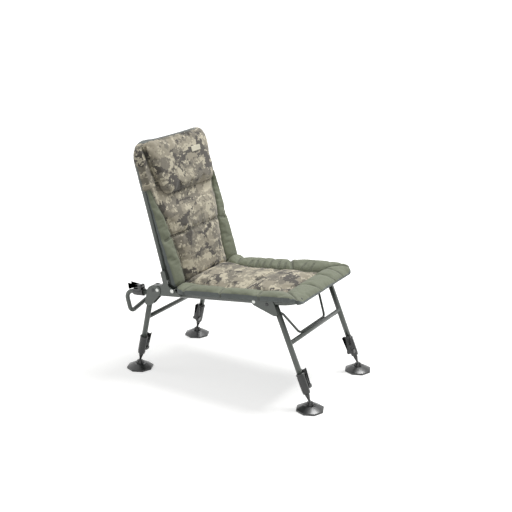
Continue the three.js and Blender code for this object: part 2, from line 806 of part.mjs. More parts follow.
for (const frame of legFrames) {
  const { end, way, station, rise, lean, offset, tubeTop, barDrop, gap } = frame;
  const leg = new THREE.Group();
  leg.position.set(0, station, rise);
  leg.rotation.x = way * rad(lean) + rad(seatTilt);
  seat.add(leg);

  const pivotHeight = seatHeight - station * Math.sin(rad(seatTilt)) + rise * Math.cos(rad(seatTilt));
  const ballDrop = (pivotHeight + offset * Math.sin(rad(lean)) - ballHeight) / Math.cos(rad(lean));
  const clampBottom = ballDrop - swivelDrop;
  const clampTop = clampBottom - clampLength;
  const outer = gap + cheekGauge;
  const depth = way * offset;

  for (const [side, sign] of sides) {
    const x = sign * rail;
    const tag = `${end}_${side}`;
    addPart(leg, `leg_tube_${tag}`, tube([
      [x, depth, -tubeTop], [x, depth, -clampTop - clampLap + fit],
    ], legRadius, { wall: tubeWall }), frameCoat);
    addPart(leg, `leg_bracket_${tag}`, legBracket(frame, x), frameCoat);
    addPart(leg, `leg_pivot_rivet_${tag}`,
      headedPin(rivetRadius, rivetHeadRadius, rivetHeadHeight, 2 * outer, 0, 0).translate(x, 0, 0),
      brightSteel);
    addPart(leg, `stop_button_${tag}`, stopButton(gap + fit, outer)
      .rotateZ(sign > 0 ? 0 : Math.PI)
      .translate(x, way * frame.button[0], -frame.button[1]), blackPlastic);

    const clamp = new THREE.Group();
    clamp.position.set(x, depth, -clampTop);
    clamp.rotation.z = sign * rad(90);
    leg.add(clamp);
    const pin = leverPivotRise - clampLength;
    addPart(clamp, `leg_clamp_${tag}`,
      clampSleeve({ length: clampLength, lap: clampLap, throat: innerLegRadius, pin }), blackPlastic);
    addPart(clamp, `leg_lever_${tag}`, clampLever({ pin, swing: 1, reach: leverLength }), blackPlastic);

    addPart(leg, `inner_leg_${tag}`, tube([
      [x, depth, innerLegInsertShare * (clampTop - tubeTop) - clampTop], [x, depth, -clampBottom - plugGap],
    ], innerLegRadius, { wall: innerLegWall }), frameCoat);
    const swivel = new THREE.Group();
    swivel.position.set(x, depth, -ballDrop);
    leg.add(swivel);
    addPart(swivel, `swivel_stem_${tag}`, swivelStem(), blackPlastic);
    const foot = addPart(swivel, `mud_foot_${tag}`, mudFoot(), blackPlastic);
    foot.rotation.x = -way * rad(lean);
  }

  addPart(leg, `${end}_crossbar`, cut(
    crossRod(crossbarRadius, -rail, rail, depth, -barDrop),
    ...[-rail, rail].map((x) => tube([
      [x, depth, -barDrop - overrun], [x, depth, overrun - barDrop],
    ], legRadius + fit)),
    ...[-rail, rail].map((x) => new THREE.BoxGeometry(2 * legRadius, overrun, overrun)
      .translate(x + Math.sign(x) * legRadius, depth, -barDrop)),
  ), frameCoat);

  if (end === 'front') {
    const start = rail - outer - fit;
    const hoopFoot = crossbarRadius + hoopRadius + fit;
    const foot = [offset - hoopFoot * Math.SQRT1_2, barDrop - hoopFoot * Math.SQRT1_2];
    const half = [
      [start, hoopEyeReach, hoopEyeDrop], [start - hoopRadius * 2, hoopEyeReach, hoopEyeDrop],
      [hoopHalfWaist, hoopWaistReach, hoopWaistDrop], [hoopHalfFoot, foot[0], foot[1]],
    ];
    const route = [
      ...half.map(([x, u, v]) => [-x, way * u, -v]),
      ...half.toReversed().map(([x, u, v]) => [x, way * u, -v]),
    ];
    addPart(leg, 'front_stay_hoop', tube(route, hoopRadius, {
      bend: [hoopRadius, hoopBend, hoopBend, hoopBend, hoopBend, hoopRadius], sides: smallSides,
    }), frameCoat);
  }
}

// Rear loop, sliding in the open ends of the rails, with a cam clamp on each

const loopClampFront = railRear - loopClampLap;
const loopReach = loopClampFront + loopClampLength + loopBeyondClamp;
const loopFootStation = loopReach - loopFootTuck;
const loopHalf = [
  [rail, railRear - loopInsert, 0], [rail, loopReach, 0], [loopFootHalf, loopFootStation, -loopDrop],
  [loopArchHalf, loopFootStation, loopArchRise - loopDrop],
];
const loopRoute = [...loopHalf.map(([x, s, n]) => [-x, s, n]), ...loopHalf.toReversed()];
addPart(seat, 'rear_loop', tube(loopRoute, loopRadius, {
  bend: [loopBend, loopFootBend, loopArchBend, loopArchBend, loopFootBend, loopBend],
}), frameCoat);

for (const [side, sign] of sides) {
  const clamp = new THREE.Group();
  clamp.position.set(sign * rail, loopClampFront, 0);
  clamp.quaternion.setFromRotationMatrix(new THREE.Matrix4().makeBasis(
    new THREE.Vector3(1, 0, 0), new THREE.Vector3(0, 0, 1), new THREE.Vector3(0, -1, 0)));
  seat.add(clamp);
  const size = { length: loopClampLength, lap: loopClampLap + fit, throat: loopRadius };
  const pin = -loopPinRise;
  addPart(clamp, `loop_clamp_${side}`, clampSleeve({ ...size, pin }), blackPlastic);
  addPart(clamp, `loop_lever_${side}`, clampLever({ pin, swing: -1, reach: loopLeverLength }), blackPlastic);
}

// The origin lies on the ground under the middle of the whole chair
const extent = new THREE.Box3().setFromObject(chair, true);
chair.position.set(0, -(extent.min.y + extent.max.y) / 2, -extent.min.z);

export default chair;
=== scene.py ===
"""Carp fishing chair: tube frame, four telescopic legs, and a camouflaged mattress with a head pillow."""

import json
import math

import bmesh
import bpy
from bpy.props import FloatProperty, FloatVectorProperty, IntProperty, PointerProperty
from mathutils import Matrix, Vector, noise
from mathutils.bvhtree import BVHTree


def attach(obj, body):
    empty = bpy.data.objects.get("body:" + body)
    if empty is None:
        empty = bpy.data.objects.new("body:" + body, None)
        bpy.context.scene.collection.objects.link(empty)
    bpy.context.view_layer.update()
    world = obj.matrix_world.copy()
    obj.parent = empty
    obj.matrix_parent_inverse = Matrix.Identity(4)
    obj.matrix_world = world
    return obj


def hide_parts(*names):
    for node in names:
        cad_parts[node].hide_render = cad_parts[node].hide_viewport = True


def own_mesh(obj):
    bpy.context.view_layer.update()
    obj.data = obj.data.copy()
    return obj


bl_info = {
    "name": "Carp fishing chair",
    "version": (1, 0, 0),
    "blender": (4, 5, 0),
    "location": "3D View > Sidebar > Chair",
    "description": "Builds a folding carp chair over its packed frame",
    "category": "Add Mesh",
}

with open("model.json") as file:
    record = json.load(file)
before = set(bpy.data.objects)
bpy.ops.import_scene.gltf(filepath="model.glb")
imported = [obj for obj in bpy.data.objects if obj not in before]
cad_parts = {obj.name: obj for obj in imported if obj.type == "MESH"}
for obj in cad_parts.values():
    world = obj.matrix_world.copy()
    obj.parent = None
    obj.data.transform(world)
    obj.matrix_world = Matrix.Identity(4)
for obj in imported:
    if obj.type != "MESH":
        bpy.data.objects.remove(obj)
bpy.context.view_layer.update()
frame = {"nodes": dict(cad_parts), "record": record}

MM = 0.001
SIDES = (("left", 1), ("right", -1))
ENDS = ("front", "rear")


def linear(code):
    """The linear colour of an sRGB hex value."""
    channels = (int(code[i : i + 2], 16) / 255 for i in (0, 2, 4))
    return tuple(c / 12.92 if c <= 0.04045 else ((c + 0.055) / 1.055) ** 2.4 for c in channels)


def tipped(y, z, degrees):
    """The frame of a group that is turned about X, with its origin in millimetres."""
    return Matrix.Translation((0, y * MM, z * MM)) @ Matrix.Rotation(math.radians(degrees), 4, "X")


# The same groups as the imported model: the seat, the back and the two leg frames
SEAT = tipped(-3.63, 375.0, -6.3)
BACK = tipped(209.45, 368.58, -15.5)
LEGS = {"front": tipped(-160.43, 392.31, -22.7), "rear": tipped(280.22, 360.77, 12.8)}
LEG = {
    "front": {"depth": -78, "top": -40, "foot": -354.36, "clamp": -308.36, "ball": -425.36, "bar": -190, "inner": 150},
    "rear": {"depth": 34, "top": -46, "foot": -275.92, "clamp": -229.92, "ball": -346.92, "bar": -142, "inner": 103},
}


def length_prop(name, description, default):
    return FloatProperty(name=name, description=description, default=default * MM, unit="LENGTH", precision=4)


def colour_prop(name, description, code):
    return FloatVectorProperty(
        name=name, description=description, default=linear(code), size=3, min=0, max=1, subtype="COLOR"
    )


class ChairFrameSizes(bpy.types.PropertyGroup):
    """Sizes of the metal and moulded pieces."""

    rail: length_prop("Rail radius", "Outside radius of the seat rails and legs", 11)
    back: length_prop("Back tube radius", "Outside radius of the back frame's tube", 10)
    wall: length_prop("Tube wall", "Thickness of the tube walls", 1.5)
    edge: length_prop("Pressed edge", "Rounding along the edges of pressed brackets", 0.7)
    moulded: length_prop("Moulded edge", "Rounding along the edges of moulded pieces", 0.8)
    sides: IntProperty(name="Tube sides", description="Faces round a tube", default=36, min=8)
    bend_steps: IntProperty(name="Bend steps", description="Faces along a right-angled bend", default=14, min=3)


class ChairClothSizes(bpy.types.PropertyGroup):
    """Sizes of the mattresses, the pillow and the slings."""

    crown: length_prop("Seat crown", "Height that the seat's panel stands over its seam", 22)
    roll: length_prop("Seat border", "Height that the puffed border stands over its seam", 20)
    back_crown: length_prop("Back crown", "Depth that the back's panel stands over its seam", 18)
    edge: length_prop("Edge", "Thickness of the mattress at its edge", 16)
    pucker: length_prop("Pucker", "Height of the gathers beside a seam", 2.4)
    cap: length_prop("Swell", "Most that a point may move while the filling swells", 5)
    thread: length_prop("Thread spacing", "Spacing of the drawn weave, coarser than the real 0.4 mm", 1.3)
    cell: length_prop("Print cell", "Size of the small cells that make the camouflage's ragged edges", 5.5)
    loosen: FloatProperty(
        name="Spare cloth", description="Share of cloth more than the filling needs", default=0.035, min=0, max=0.2
    )


class ChairColours(bpy.types.PropertyGroup):
    """Colours of the chair's finishes."""

    coat: colour_prop("Powder coat", "Grey-green coat of the tubes and brackets", "585e59")
    bright: colour_prop("Bright steel", "Zinc-plated rivets and bolts", "d4d6d2")
    nylon: colour_prop("Moulded nylon", "Black clamps, levers and mud feet", "191b1b")
    sling: colour_prop("Sling cloth", "Coated cloth under the mattress", "343a37")
    band: colour_prop("Side band", "Grey edging of the mattress", "666c6a")
    olive: colour_prop("Border cloth", "Green border and wings of the mattress", "7a7f6b")
    tan: colour_prop("Camouflage ground", "Ground of the printed cloth", "9f9784")
    cream: colour_prop("Camouflage light", "Light patches of the printed cloth", "c9c1aa")
    moss: colour_prop("Camouflage green", "Green patches of the printed cloth", "7b7567")
    bark: colour_prop("Camouflage dark", "Dark patches of the printed cloth", "48433b")
    tab: colour_prop("Tab", "Plain woven tab on the pillow", "d9d4bf")
    floor: colour_prop("Floor", "Studio floor", "e9e9e7")


# Materials


def add_node(tree, kind, inputs=None, **settings):
    """Adds one node. The inputs are socket values, or the sockets that feed them."""
    made = tree.nodes.new(kind)
    for name, value in settings.items():
        setattr(made, name, value)
    for name, value in (inputs or {}).items():
        if isinstance(value, bpy.types.NodeSocket):
            tree.links.new(value, made.inputs[name])
        else:
            made.inputs[name].default_value = value
    return made


def opaque(colour):
    return (*colour, 1.0)


def shade(colour, factor):
    return tuple(min(1.0, c * factor) for c in colour)


def new_material(name, **finish):
    """A Principled material with constant sockets set on the shader itself."""
    material = bpy.data.materials.new(name)
    material.use_nodes = True
    shader = material.node_tree.nodes["Principled BSDF"]
    for socket, value in finish.items():
        shader.inputs[socket.replace("_", " ")].default_value = value
    return material, material.node_tree, shader


def powder_coated_steel(name, colour, roughness=0.42):
    """Powder-coated steel: satin, with the fine orange peel of melted powder and a faint bloom of dust."""
    material, tree, shader = new_material(name, Coat_Weight=0.5, Coat_Roughness=0.22)
    place = add_node(tree, "ShaderNodeTexCoord").outputs["Object"]
    bloom = add_node(tree, "ShaderNodeTexNoise", {"Vector": place, "Scale": 26.0, "Detail": 4.0})
    tone = add_node(tree, "ShaderNodeMix", {
        "Factor": bloom.outputs["Fac"],
        "A": opaque(shade(colour, 0.82)),
        "B": opaque(shade(colour, 1.2)),
    }, data_type="RGBA")
    tree.links.new(tone.outputs["Result"], shader.inputs["Base Color"])
    gloss = add_node(tree, "ShaderNodeMapRange", {
        "Value": bloom.outputs["Fac"], "To Min": roughness - 0.07, "To Max": roughness + 0.1,
    })
    tree.links.new(gloss.outputs["Result"], shader.inputs["Roughness"])
    peel = add_node(tree, "ShaderNodeTexNoise", {"Vector": place, "Scale": 1 / (1.1 * MM), "Detail": 1.0})
    bump = add_node(tree, "ShaderNodeBump", {
        "Height": peel.outputs["Fac"], "Strength": 0.16, "Distance": 0.12 * MM,
    })
    tree.links.new(bump.outputs["Normal"], shader.inputs["Normal"])
    return material


def zinc_plated_steel(name, colour):
    """Bright zinc-plated steel: a pale metal with faint turning marks."""
    material, tree, shader = new_material(name, Metallic=1.0)
    place = add_node(tree, "ShaderNodeTexCoord").outputs["Object"]
    haze = add_node(tree, "ShaderNodeTexNoise", {"Vector": place, "Scale": 240.0, "Detail": 5.0})
    tone = add_node(tree, "ShaderNodeMix", {
        "Factor": haze.outputs["Fac"], "A": opaque(shade(colour, 0.85)), "B": opaque(colour),
    }, data_type="RGBA")
    tree.links.new(tone.outputs["Result"], shader.inputs["Base Color"])
    gloss = add_node(tree, "ShaderNodeMapRange", {"Value": haze.outputs["Fac"], "To Min": 0.22, "To Max": 0.42})
    tree.links.new(gloss.outputs["Result"], shader.inputs["Roughness"])
    return material


def moulded_nylon(name, colour):
    """Glass-filled nylon: black, with a fine spark-eroded grain and slightly worn, greyer patches."""
    material, tree, shader = new_material(name, Coat_Weight=0.6, Coat_Roughness=0.25)
    place = add_node(tree, "ShaderNodeTexCoord").outputs["Object"]
    wear = add_node(tree, "ShaderNodeTexNoise", {"Vector": place, "Scale": 55.0, "Detail": 5.0, "Roughness": 0.6})
    tone = add_node(tree, "ShaderNodeMix", {
        "Factor": wear.outputs["Fac"], "A": opaque(shade(colour, 0.7)), "B": opaque(shade(colour, 1.7)),
    }, data_type="RGBA")
    tree.links.new(tone.outputs["Result"], shader.inputs["Base Color"])
    gloss = add_node(tree, "ShaderNodeMapRange", {"Value": wear.outputs["Fac"], "To Min": 0.26, "To Max": 0.42})
    tree.links.new(gloss.outputs["Result"], shader.inputs["Roughness"])
    grain = add_node(tree, "ShaderNodeTexNoise", {"Vector": place, "Scale": 1 / (0.7 * MM), "Detail": 2.0})
    bump = add_node(tree, "ShaderNodeBump", {
        "Height": grain.outputs["Fac"], "Strength": 0.3, "Distance": 0.1 * MM,
    })
    tree.links.new(bump.outputs["Normal"], shader.inputs["Normal"])
    return material


def weave_height(tree, spacing):
    """A plain weave from two crossed waves on the cloth's own map, which is in metres."""
    place = add_node(tree, "ShaderNodeUVMap", uv_map="cloth").outputs["UV"]
    pitch = 2 * math.pi / (20 * spacing)
    warp = add_node(tree, "ShaderNodeTexWave", {"Vector": place, "Scale": pitch}, bands_direction="X")
    weft = add_node(tree, "ShaderNodeTexWave", {"Vector": place, "Scale": pitch}, bands_direction="Y")
    return add_node(tree, "ShaderNodeMath", {0: warp.outputs["Fac"], 1: weft.outputs["Fac"]}, operation="ADD")


def cloth_relief(tree, shader, spacing, strength):
    """Bumps the surface with the weave over shallow creases about 30 mm long."""
    place = add_node(tree, "ShaderNodeTexCoord").outputs["Object"]
    creases = add_node(tree, "ShaderNodeTexNoise", {
        "Vector": place, "Scale": 34.0, "Detail": 3.0, "Distortion": 1.1,
    })
    soft = add_node(tree, "ShaderNodeBump", {
        "Height": creases.outputs["Fac"], "Strength": strength, "Distance": 5 * MM,
    })
    fine = add_node(tree, "ShaderNodeBump", {
        "Height": weave_height(tree, spacing).outputs["Value"], "Strength": 0.35,
        "Distance": 0.15 * MM, "Normal": soft.outputs["Normal"],
    })
    tree.links.new(fine.outputs["Normal"], shader.inputs["Normal"])


def stitches_and_seam_shade(tree, colour):
    """Mixes in a thread line beside each seam, and painted shade that darkens the colour to half at each seam and fades
    out 7 mm from it, from the piece's own seam attributes in metres.
    """
    away = add_node(tree, "ShaderNodeAttribute", attribute_name="seam").outputs["Fac"]
    along = add_node(tree, "ShaderNodeAttribute", attribute_name="run").outputs["Fac"]
    beside = add_node(tree, "ShaderNodeMath", {0: away, 1: 4.5 * MM, 2: 0.7 * MM}, operation="COMPARE")
    pitch = add_node(tree, "ShaderNodeMath", {0: along, 1: 5 * MM}, operation="MODULO")
    dash = add_node(tree, "ShaderNodeMath", {0: pitch.outputs["Value"], 1: 3.6 * MM}, operation="LESS_THAN")
    thread = add_node(tree, "ShaderNodeMath", {
        0: beside.outputs["Value"], 1: dash.outputs["Value"],
    }, operation="MULTIPLY")
    # Painted shade: the colour darkens towards each seam, standing in for the shade in the seam's valley.
    painted_seam_shade = add_node(tree, "ShaderNodeMapRange", {
        "Value": away, "From Min": 0.0, "From Max": 7 * MM, "To Min": 0.5, "To Max": 1.0,
    })
    seam_shaded = add_node(tree, "ShaderNodeMix", {
        "Factor": 1.0, "A": colour, "B": painted_seam_shade.outputs["Result"],
    }, data_type="RGBA", blend_type="MULTIPLY")
    return add_node(tree, "ShaderNodeMix", {
        "Factor": thread.outputs["Value"], "A": seam_shaded.outputs["Result"], "B": opaque(linear("4d5040")),
    }, data_type="RGBA").outputs["Result"]


def woven_polyester(name, colour, spacing, roughness=0.72, seams=True, creases=0.3):
    """Woven polyester: matt and slightly hairy, a little paler where it has rubbed."""
    material, tree, shader = new_material(name, Sheen_Weight=0.18, Sheen_Roughness=0.5, Roughness=roughness)
    place = add_node(tree, "ShaderNodeTexCoord").outputs["Object"]
    rubbed = add_node(tree, "ShaderNodeTexNoise", {"Vector": place, "Scale": 15.0, "Detail": 6.0})
    tone = add_node(tree, "ShaderNodeMix", {
        "Factor": rubbed.outputs["Fac"], "A": opaque(shade(colour, 0.84)), "B": opaque(shade(colour, 1.18)),
    }, data_type="RGBA")
    # With seams, thread lines and painted shade along the seams are mixed into the colour.
    final = stitches_and_seam_shade(tree, tone.outputs["Result"]) if seams else tone.outputs["Result"]
    tree.links.new(final, shader.inputs["Base Color"])
    cloth_relief(tree, shader, spacing, creases)
    return material


def camouflage_peach_skin(name, colours, spacing, cell):
    """Peach-skin polyester with a generic printed camouflage of ragged, overlapping patches 10 to 40 mm across."""
    material, tree, shader = new_material(name, Sheen_Weight=0.25, Sheen_Roughness=0.6, Roughness=0.85)
    place = add_node(tree, "ShaderNodeTexCoord").outputs["Object"]
    cells = add_node(tree, "ShaderNodeTexVoronoi", {
        "Vector": place, "Scale": 1 / cell, "Randomness": 0.7,
    }, feature="F1").outputs["Position"]
    layers = (
        (colours.cream, (0.0, 0.0, 0.0), 21.0, 0.53, 0.55),
        (colours.moss, (3.1, 1.7, 0.4), 17.0, 0.53, 0.6),
        (colours.bark, (7.3, 5.2, 2.6), 15.0, 0.56, 0.66),
        (colours.cream, (1.9, 9.4, 5.1), 44.0, 0.6, 0.7),
    )
    ground = opaque(colours.tan)
    for colour, shift, scale, edge, rough in layers:
        moved = add_node(tree, "ShaderNodeMapping", {
            "Vector": cells, "Location": shift, "Scale": (0.75, 1.0, 1.15),
        })
        patch = add_node(tree, "ShaderNodeTexNoise", {
            "Vector": moved.outputs["Vector"], "Scale": scale, "Detail": 3.5, "Roughness": rough,
            "Distortion": 0.5,
        })
        inside = add_node(tree, "ShaderNodeMapRange", {
            "Value": patch.outputs["Fac"], "From Min": edge - 0.006, "From Max": edge + 0.006,
        })
        ground = add_node(tree, "ShaderNodeMix", {
            "Factor": inside.outputs["Result"], "A": ground, "B": opaque(colour),
        }, data_type="RGBA").outputs["Result"]
    faded = add_node(tree, "ShaderNodeTexNoise", {"Vector": place, "Scale": 120.0, "Detail": 5.0})
    level = add_node(tree, "ShaderNodeMapRange", {
        "Value": faded.outputs["Fac"], "To Min": 0.85, "To Max": 1.12,
    })
    printed = add_node(tree, "ShaderNodeMix", {
        "Factor": 1.0, "A": ground, "B": level.outputs["Result"],
    }, data_type="RGBA", blend_type="MULTIPLY")
    # Thread lines and painted shade along the seams are mixed into the print.
    tree.links.new(stitches_and_seam_shade(tree, printed.outputs["Result"]), shader.inputs["Base Color"])
    cloth_relief(tree, shader, spacing, 0.35)
    return material


def finish_of(kind):
    """The material of that kind, made once."""
    found = bpy.data.materials.get(kind)
    if found:
        return found
    colours = bpy.context.scene.chair_colours
    thread = bpy.context.scene.chair_cloth.thread
    makers = {
        "powder-coated steel": lambda: powder_coated_steel(kind, colours.coat),
        "zinc-plated steel": lambda: zinc_plated_steel(kind, colours.bright),
        "moulded nylon": lambda: moulded_nylon(kind, colours.nylon),
        "coated sling cloth": lambda: woven_polyester(kind, colours.sling, 1.6 * thread, 0.6, False, 0.12),
        "grey edging": lambda: woven_polyester(kind, colours.band, 1.4 * thread, 0.7, True, 0.5),
        "olive polyester": lambda: woven_polyester(kind, colours.olive, thread),
        "woven tab": lambda: woven_polyester(kind, colours.tab, thread, 0.8, False, 0.05),
        "camouflage peach skin": lambda: camouflage_peach_skin(
            kind, colours, thread, bpy.context.scene.chair_cloth.cell
        ),
    }
    return makers[kind]()


# Making pieces


def body_with(node):
    """The body that carries a CAD node."""
    bodies = frame["record"]["behaviour"]["bodies"]
    return next(body for body, members in bodies.items() if node in members)


def finish_piece(name, bm, node, finishes, sharp=34, body=None):
    """Turns the bmesh into a piece that stands for the node and rides on its body."""
    mesh = bpy.data.meshes.new(name)
    bm.to_mesh(mesh)
    bm.free()
    for finish in finishes:
        mesh.materials.append(finish_of(finish))
    mesh.shade_smooth()
    mesh.set_sharp_from_angle(angle=math.radians(sharp))
    piece = bpy.data.objects.new(name, mesh)
    bpy.context.scene.collection.objects.link(piece)
    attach(piece, body or body_with(node))
    if node:
        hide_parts(node)
    return piece


def ring_of(made):
    return [e for e in made if isinstance(e, bmesh.types.BMEdge)]


def points_of(made):
    return [v for v in made if isinstance(v, bmesh.types.BMVert)]


def bent_tube(bm, corners, bends, radius, closed=True):
    """A round tube along the corner points, in millimetres, with an arc at each corner between."""
    sizes = bpy.context.scene.chair_frame
    stops = [Vector(corner) * MM for corner in corners]
    heading = (stops[1] - stops[0]).normalized()
    facing = heading.to_track_quat("Z", "Y").to_matrix().to_4x4()
    circle = bmesh.ops.create_circle(
        bm, cap_ends=False, segments=sizes.sides, radius=radius, matrix=Matrix.Translation(stops[0]) @ facing
    )
    first = ring = list({e for v in circle["verts"] for e in v.link_edges})
    here = stops[0]

    def straight(ring, move):
        made = bmesh.ops.extrude_edge_only(bm, edges=ring)["geom"]
        bmesh.ops.translate(bm, verts=points_of(made), vec=move)
        return ring_of(made)

    for corner, beyond, bend in zip(stops[1:-1], stops[2:], bends):
        leaving = (beyond - corner).normalized()
        turn = heading.angle(leaving)
        reach = bend * MM * math.tan(turn / 2)
        axis = heading.cross(leaving).normalized()
        tangent = corner - heading * reach
        ring = straight(ring, tangent - here)
        ring = [e for e in ring if all(abs((v.co - tangent).dot(heading)) < 1e-6 for v in e.verts)]
        spun = bmesh.ops.spin(
            bm, geom=ring + list({v for e in ring for v in e.verts}),
            cent=tangent + axis.cross(heading) * bend * MM, axis=axis, dvec=(0, 0, 0), angle=turn,
            steps=max(2, round(sizes.bend_steps * turn / (math.pi / 2))), use_duplicate=False,
        )
        ring = ring_of(spun["geom_last"])
        here = corner + leaving * reach
        heading = leaving
    ring = straight(ring, stops[-1] - here)
    ring = [e for e in ring if all(abs((v.co - stops[-1]).dot(heading)) < 1e-6 for v in e.verts)]
    if closed:
        for end in (first, ring):
            middle = sum((v.co for e in end for v in e.verts), Vector()) / (2 * len(end))
            out = (middle - (stops[1] if end is first else stops[-2])).normalized()
            for grow, step in ((0.94, 0.1), (0.8, 0.1), (0.5, 0.08)):
                made = bmesh.ops.extrude_edge_only(bm, edges=end)["geom"]
                moved = points_of(made)
                bmesh.ops.translate(bm, verts=moved, vec=out * radius * step)
                centre = sum((v.co for v in moved), Vector()) / len(moved)
                bmesh.ops.scale(
                    bm, verts=moved, vec=(grow, grow, grow), space=Matrix.Translation(-centre)
                )
                end = [e for e in ring_of(made) if all(v in moved for v in e.verts)]
            bmesh.ops.edgeloop_fill(bm, edges=end)
    bmesh.ops.recalc_face_normals(bm, faces=bm.faces)


def walled(piece, thickness):
    """Gives an open tube its wall, inwards."""
    wall = piece.modifiers.new("wall", "SOLIDIFY")
    wall.thickness = thickness
    wall.offset = -1
    return piece


def lathe(bm, profile, place=None, steps=40):
    """Spins (radius, height) points in millimetres about Z into a closed solid."""
    verts = [bm.verts.new((radius * MM, 0, height * MM)) for radius, height in profile]
    edges = [bm.edges.new(pair) for pair in zip(verts, verts[1:])]
    made = bmesh.ops.spin(
        bm, geom=verts + edges, cent=(0, 0, 0), axis=(0, 0, 1), dvec=(0, 0, 0), angle=2 * math.pi,
        steps=steps, use_merge=True, use_duplicate=False,
    )
    found = {v for v in bm.verts if v in verts}
    todo = list(found | set(points_of(made["geom_last"])))
    while todo:
        vert = todo.pop()
        for edge in vert.link_edges:
            other = edge.other_vert(vert)
            if other not in found:
                found.add(other)
                todo.append(other)
    bmesh.ops.remove_doubles(bm, verts=list(found), dist=1e-6)
    alive = [v for v in found if v.is_valid]
    faces = list({f for v in alive for f in v.link_faces})
    bmesh.ops.recalc_face_normals(bm, faces=faces)
    if place:
        bmesh.ops.transform(bm, matrix=place, verts=alive)
    return alive


def plate(bm, outline, x0, x1, soft, edge, place=None):
    """A plate with rounded corners: (y, z) points in millimetres, from x0 to x1."""
    verts = [bm.verts.new((x0 * MM, y * MM, z * MM)) for y, z in outline]
    face = bm.faces.new(verts)
    made = bmesh.ops.bevel(
        bm, geom=verts, offset=soft * MM, affect="VERTICES", segments=5, profile=0.5, material=-1
    )
    face = max(
        (f for f in bm.faces if f.is_valid and any(v in f.verts for v in made["verts"])), key=lambda f: len(f.verts)
    )
    grown = bmesh.ops.extrude_face_region(bm, geom=[face], use_keep_orig=True)["geom"]
    top = points_of(grown)
    bmesh.ops.translate(bm, verts=top, vec=((x1 - x0) * MM, 0, 0))
    verts = list({v for f in grown + [face] if isinstance(f, bmesh.types.BMFace) for v in f.verts})
    faces = list({f for v in verts for f in v.link_faces})
    bmesh.ops.recalc_face_normals(bm, faces=faces)
    rims = [e for f in faces if len(f.verts) > 4 for e in f.edges]
    made = bmesh.ops.bevel(
        bm, geom=list(set(rims)), offset=edge, affect="EDGES", segments=2, profile=0.5, material=-1
    )
    alive = {v for v in verts if v.is_valid} | set(made["verts"])
    if place:
        bmesh.ops.transform(bm, matrix=place, verts=list(alive))
    return alive


def dressed_copy(node, name, finish, edge):
    """A merged copy of a pressed or moulded CAD piece with rounded edges."""
    bm = bmesh.new()
    bm.from_mesh(frame["nodes"][node].data)
    bmesh.ops.remove_doubles(bm, verts=bm.verts, dist=0.01 * MM)
    bmesh.ops.dissolve_limit(bm, angle_limit=math.radians(2), verts=bm.verts, edges=bm.edges)
    piece = finish_piece(name, bm, node, [finish])
    rounding = piece.modifiers.new("rounding", "BEVEL")
    rounding.width = edge
    rounding.segments = 2
    rounding.limit_method = "ANGLE"
    rounding.angle_limit = math.radians(32)
    rounding.use_clamp_overlap = True
    return piece


def placed(bm, matrix):
    bmesh.ops.transform(bm, matrix=matrix, verts=bm.verts)


def pin_profile(shank, head, rise, reach):
    """A headed pin with a domed head on a flange at each end, as (radius, height) points."""
    dome = [(head * math.sin(a), rise * 0.4 + rise * 0.6 * math.cos(a)) for a in (i * math.pi / 16 for i in range(9))]
    half = [(r, reach + h) for r, h in dome] + [(head * 1.12, reach + rise * 0.3), (head * 1.12, reach), (shank, reach)]
    return half + [(r, -h) for r, h in reversed(half)]


def across(x, y, z):
    """Stands a turned piece's axis along X, at a point in millimetres."""
    return Matrix.Translation((x * MM, y * MM, z * MM)) @ Matrix.Rotation(math.pi / 2, 4, "Y")


# The studio


